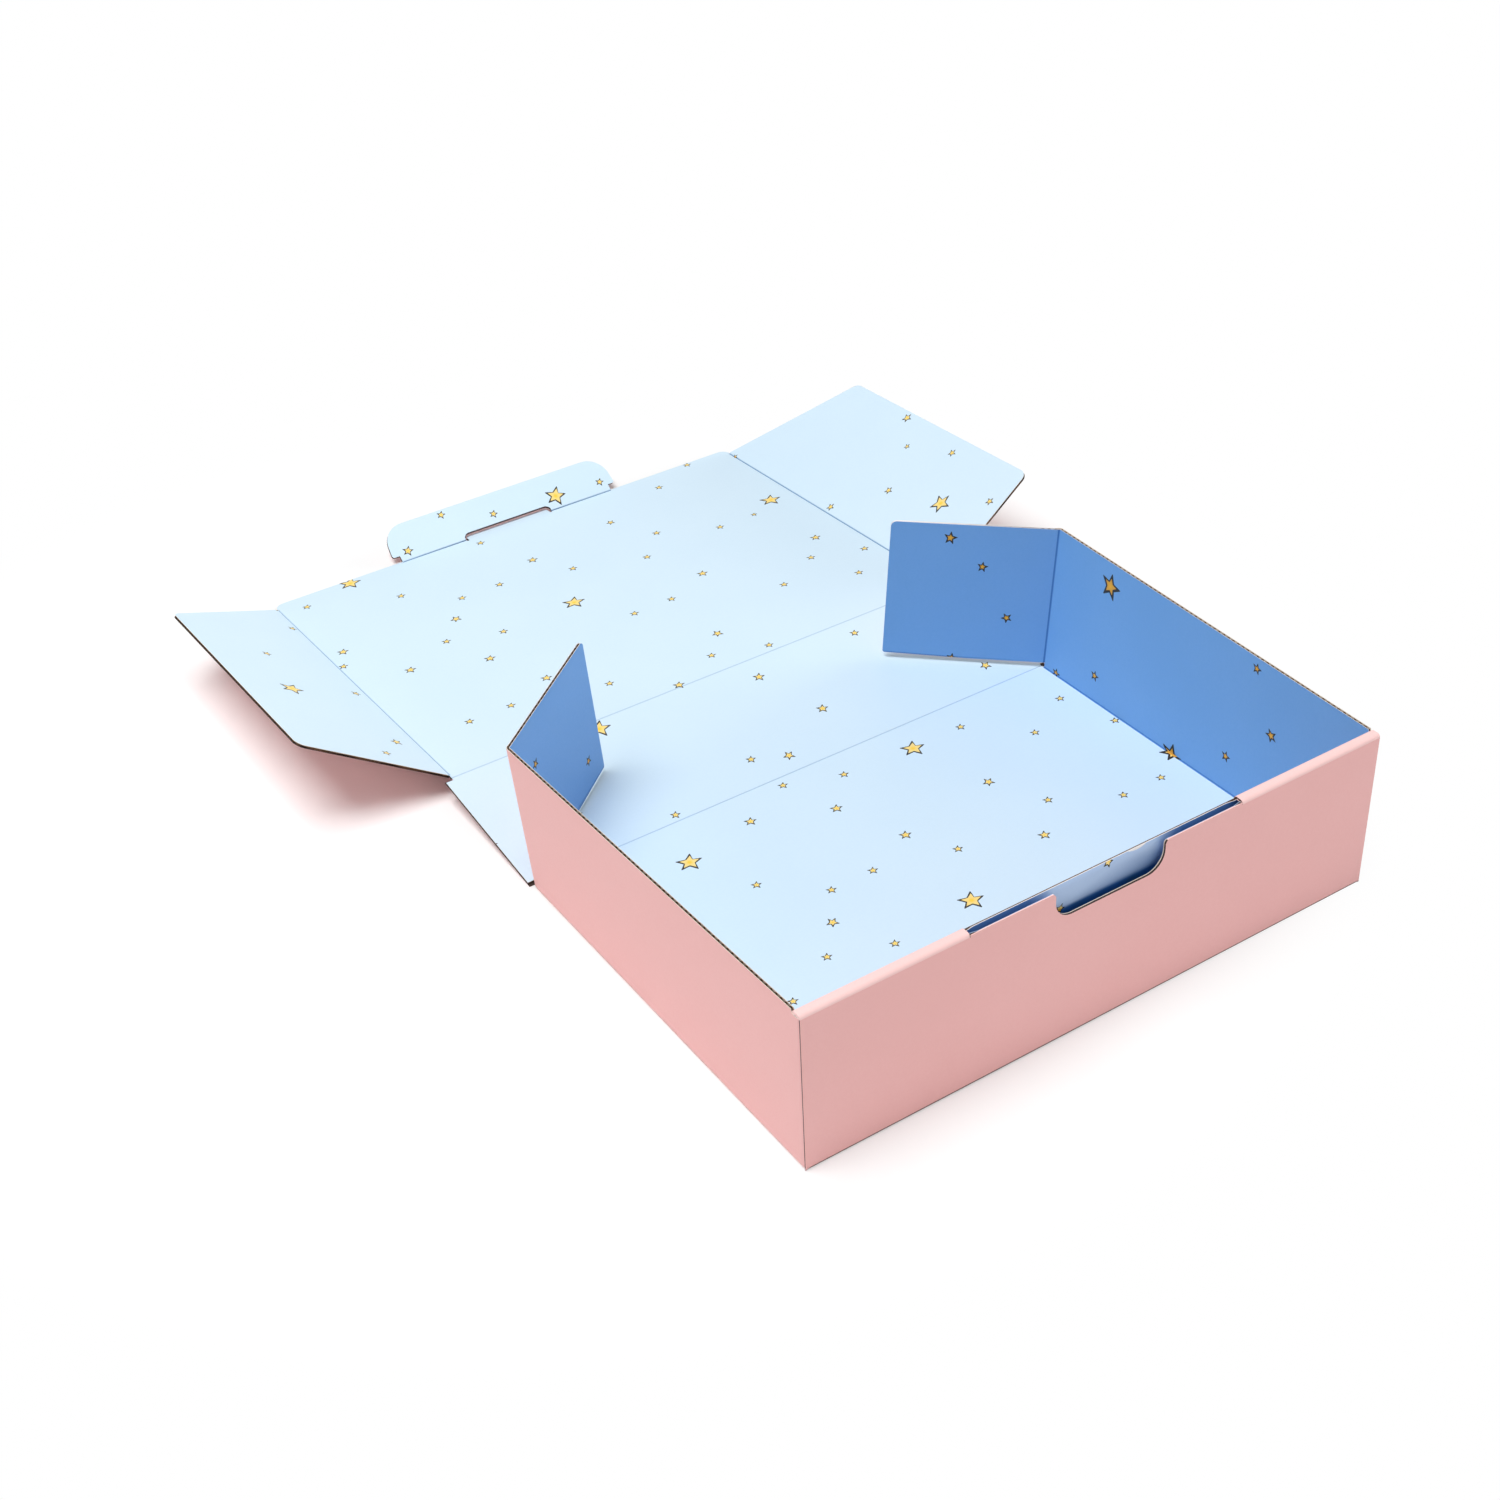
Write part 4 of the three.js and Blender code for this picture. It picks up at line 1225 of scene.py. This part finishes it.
# ---- floor, light and world
WORLD_LEVEL = 0.26
FLOOR_REACH, FLOOR_DROP = 6, 0.0002
FLOOR_WHITE = (0.95, 0.95, 0.95, 1)
FLOOR_MIDDLE = (-0.08, 0.2, 0)
FLOOR_NEAR, FLOOR_FAR = 0.26, 0.4


def seen_directly(tree):
    """1 for rays that show a surface itself or mirrored, 0 for rays that only carry its light."""
    rays = tree.nodes.new("ShaderNodeLightPath").outputs
    mirrored = math_node(tree, "MAXIMUM", rays["Is Glossy Ray"], rays["Is Transmission Ray"])
    return math_node(tree, "MAXIMUM", rays["Is Camera Ray"], mirrored)


floor_mesh = bpy.data.meshes.new("floor")
floor_ring = rectangle(-FLOOR_REACH, FLOOR_REACH, -FLOOR_REACH, FLOOR_REACH)
floor_mesh.from_pydata([(x, y, 0) for x, y in floor_ring], [], [(0, 1, 2, 3)])
floor = scene_object("floor", floor_mesh)
floor.location.z = -FLOOR_DROP
floor_material = bpy.data.materials.new("white_floor")
floor_material.use_nodes = True
tree = floor_material.node_tree
shader = next(n for n in tree.nodes if n.type == "BSDF_PRINCIPLED")
feed(shader, Base_Color=FLOOR_WHITE, Roughness=0.8, Specular_IOR_Level=0.1)
floor_place = node(tree, "ShaderNodeNewGeometry").outputs["Position"]
from_middle = node(tree, "ShaderNodeVectorMath", floor_place, FLOOR_MIDDLE)
from_middle.operation = "DISTANCE"
far_away = ramp(tree, from_middle.outputs["Value"], FLOOR_NEAR, FLOOR_FAR)
plain_white = node(tree, "ShaderNodeEmission", Strength=1)
floor_mix = node(tree, "ShaderNodeMixShader",
                 math_node(tree, "MULTIPLY", far_away, seen_directly(tree)), shader.outputs[0],
                 plain_white.outputs[0])
output = next(n for n in tree.nodes if n.type == "OUTPUT_MATERIAL")
feed(output, Surface=floor_mix.outputs[0])
floor_mesh.materials.append(floor_material)


def area_light(name, place, target, size, power):
    light = bpy.data.lights.new(name, "AREA")
    light.shape = "RECTANGLE"
    light.size, light.size_y = size
    light.energy = power
    lamp = scene_object(name, light)
    lamp.location = place
    lamp.rotation_euler = (Vector(target) - Vector(place)).to_track_quat("-Z", "Y").to_euler()


area_light("key", (-0.76, 0.1, 2.38), (-0.05, 0.1, 0), (1.4, 1.4), 54.5)
area_light("right_fill", (2.2, -0.2, 0.5), (0, 0, 0.05), (1.4, 0.7), 20)
area_light("front_fill", (0.1, -2.2, 0.5), (0, 0, 0.05), (1.4, 0.7), 4)

world = bpy.data.worlds.new("studio")
scene.world = world
world.use_nodes = True
tree = world.node_tree
background = next(n for n in tree.nodes if n.type == "BACKGROUND")
unseen = math_node(tree, "MULTIPLY", seen_directly(tree), 1 - WORLD_LEVEL)
feed(background, Color=(1, 1, 1, 1), Strength=math_node(tree, "ADD", unseen, WORLD_LEVEL))

scene.view_settings.view_transform = "Standard"
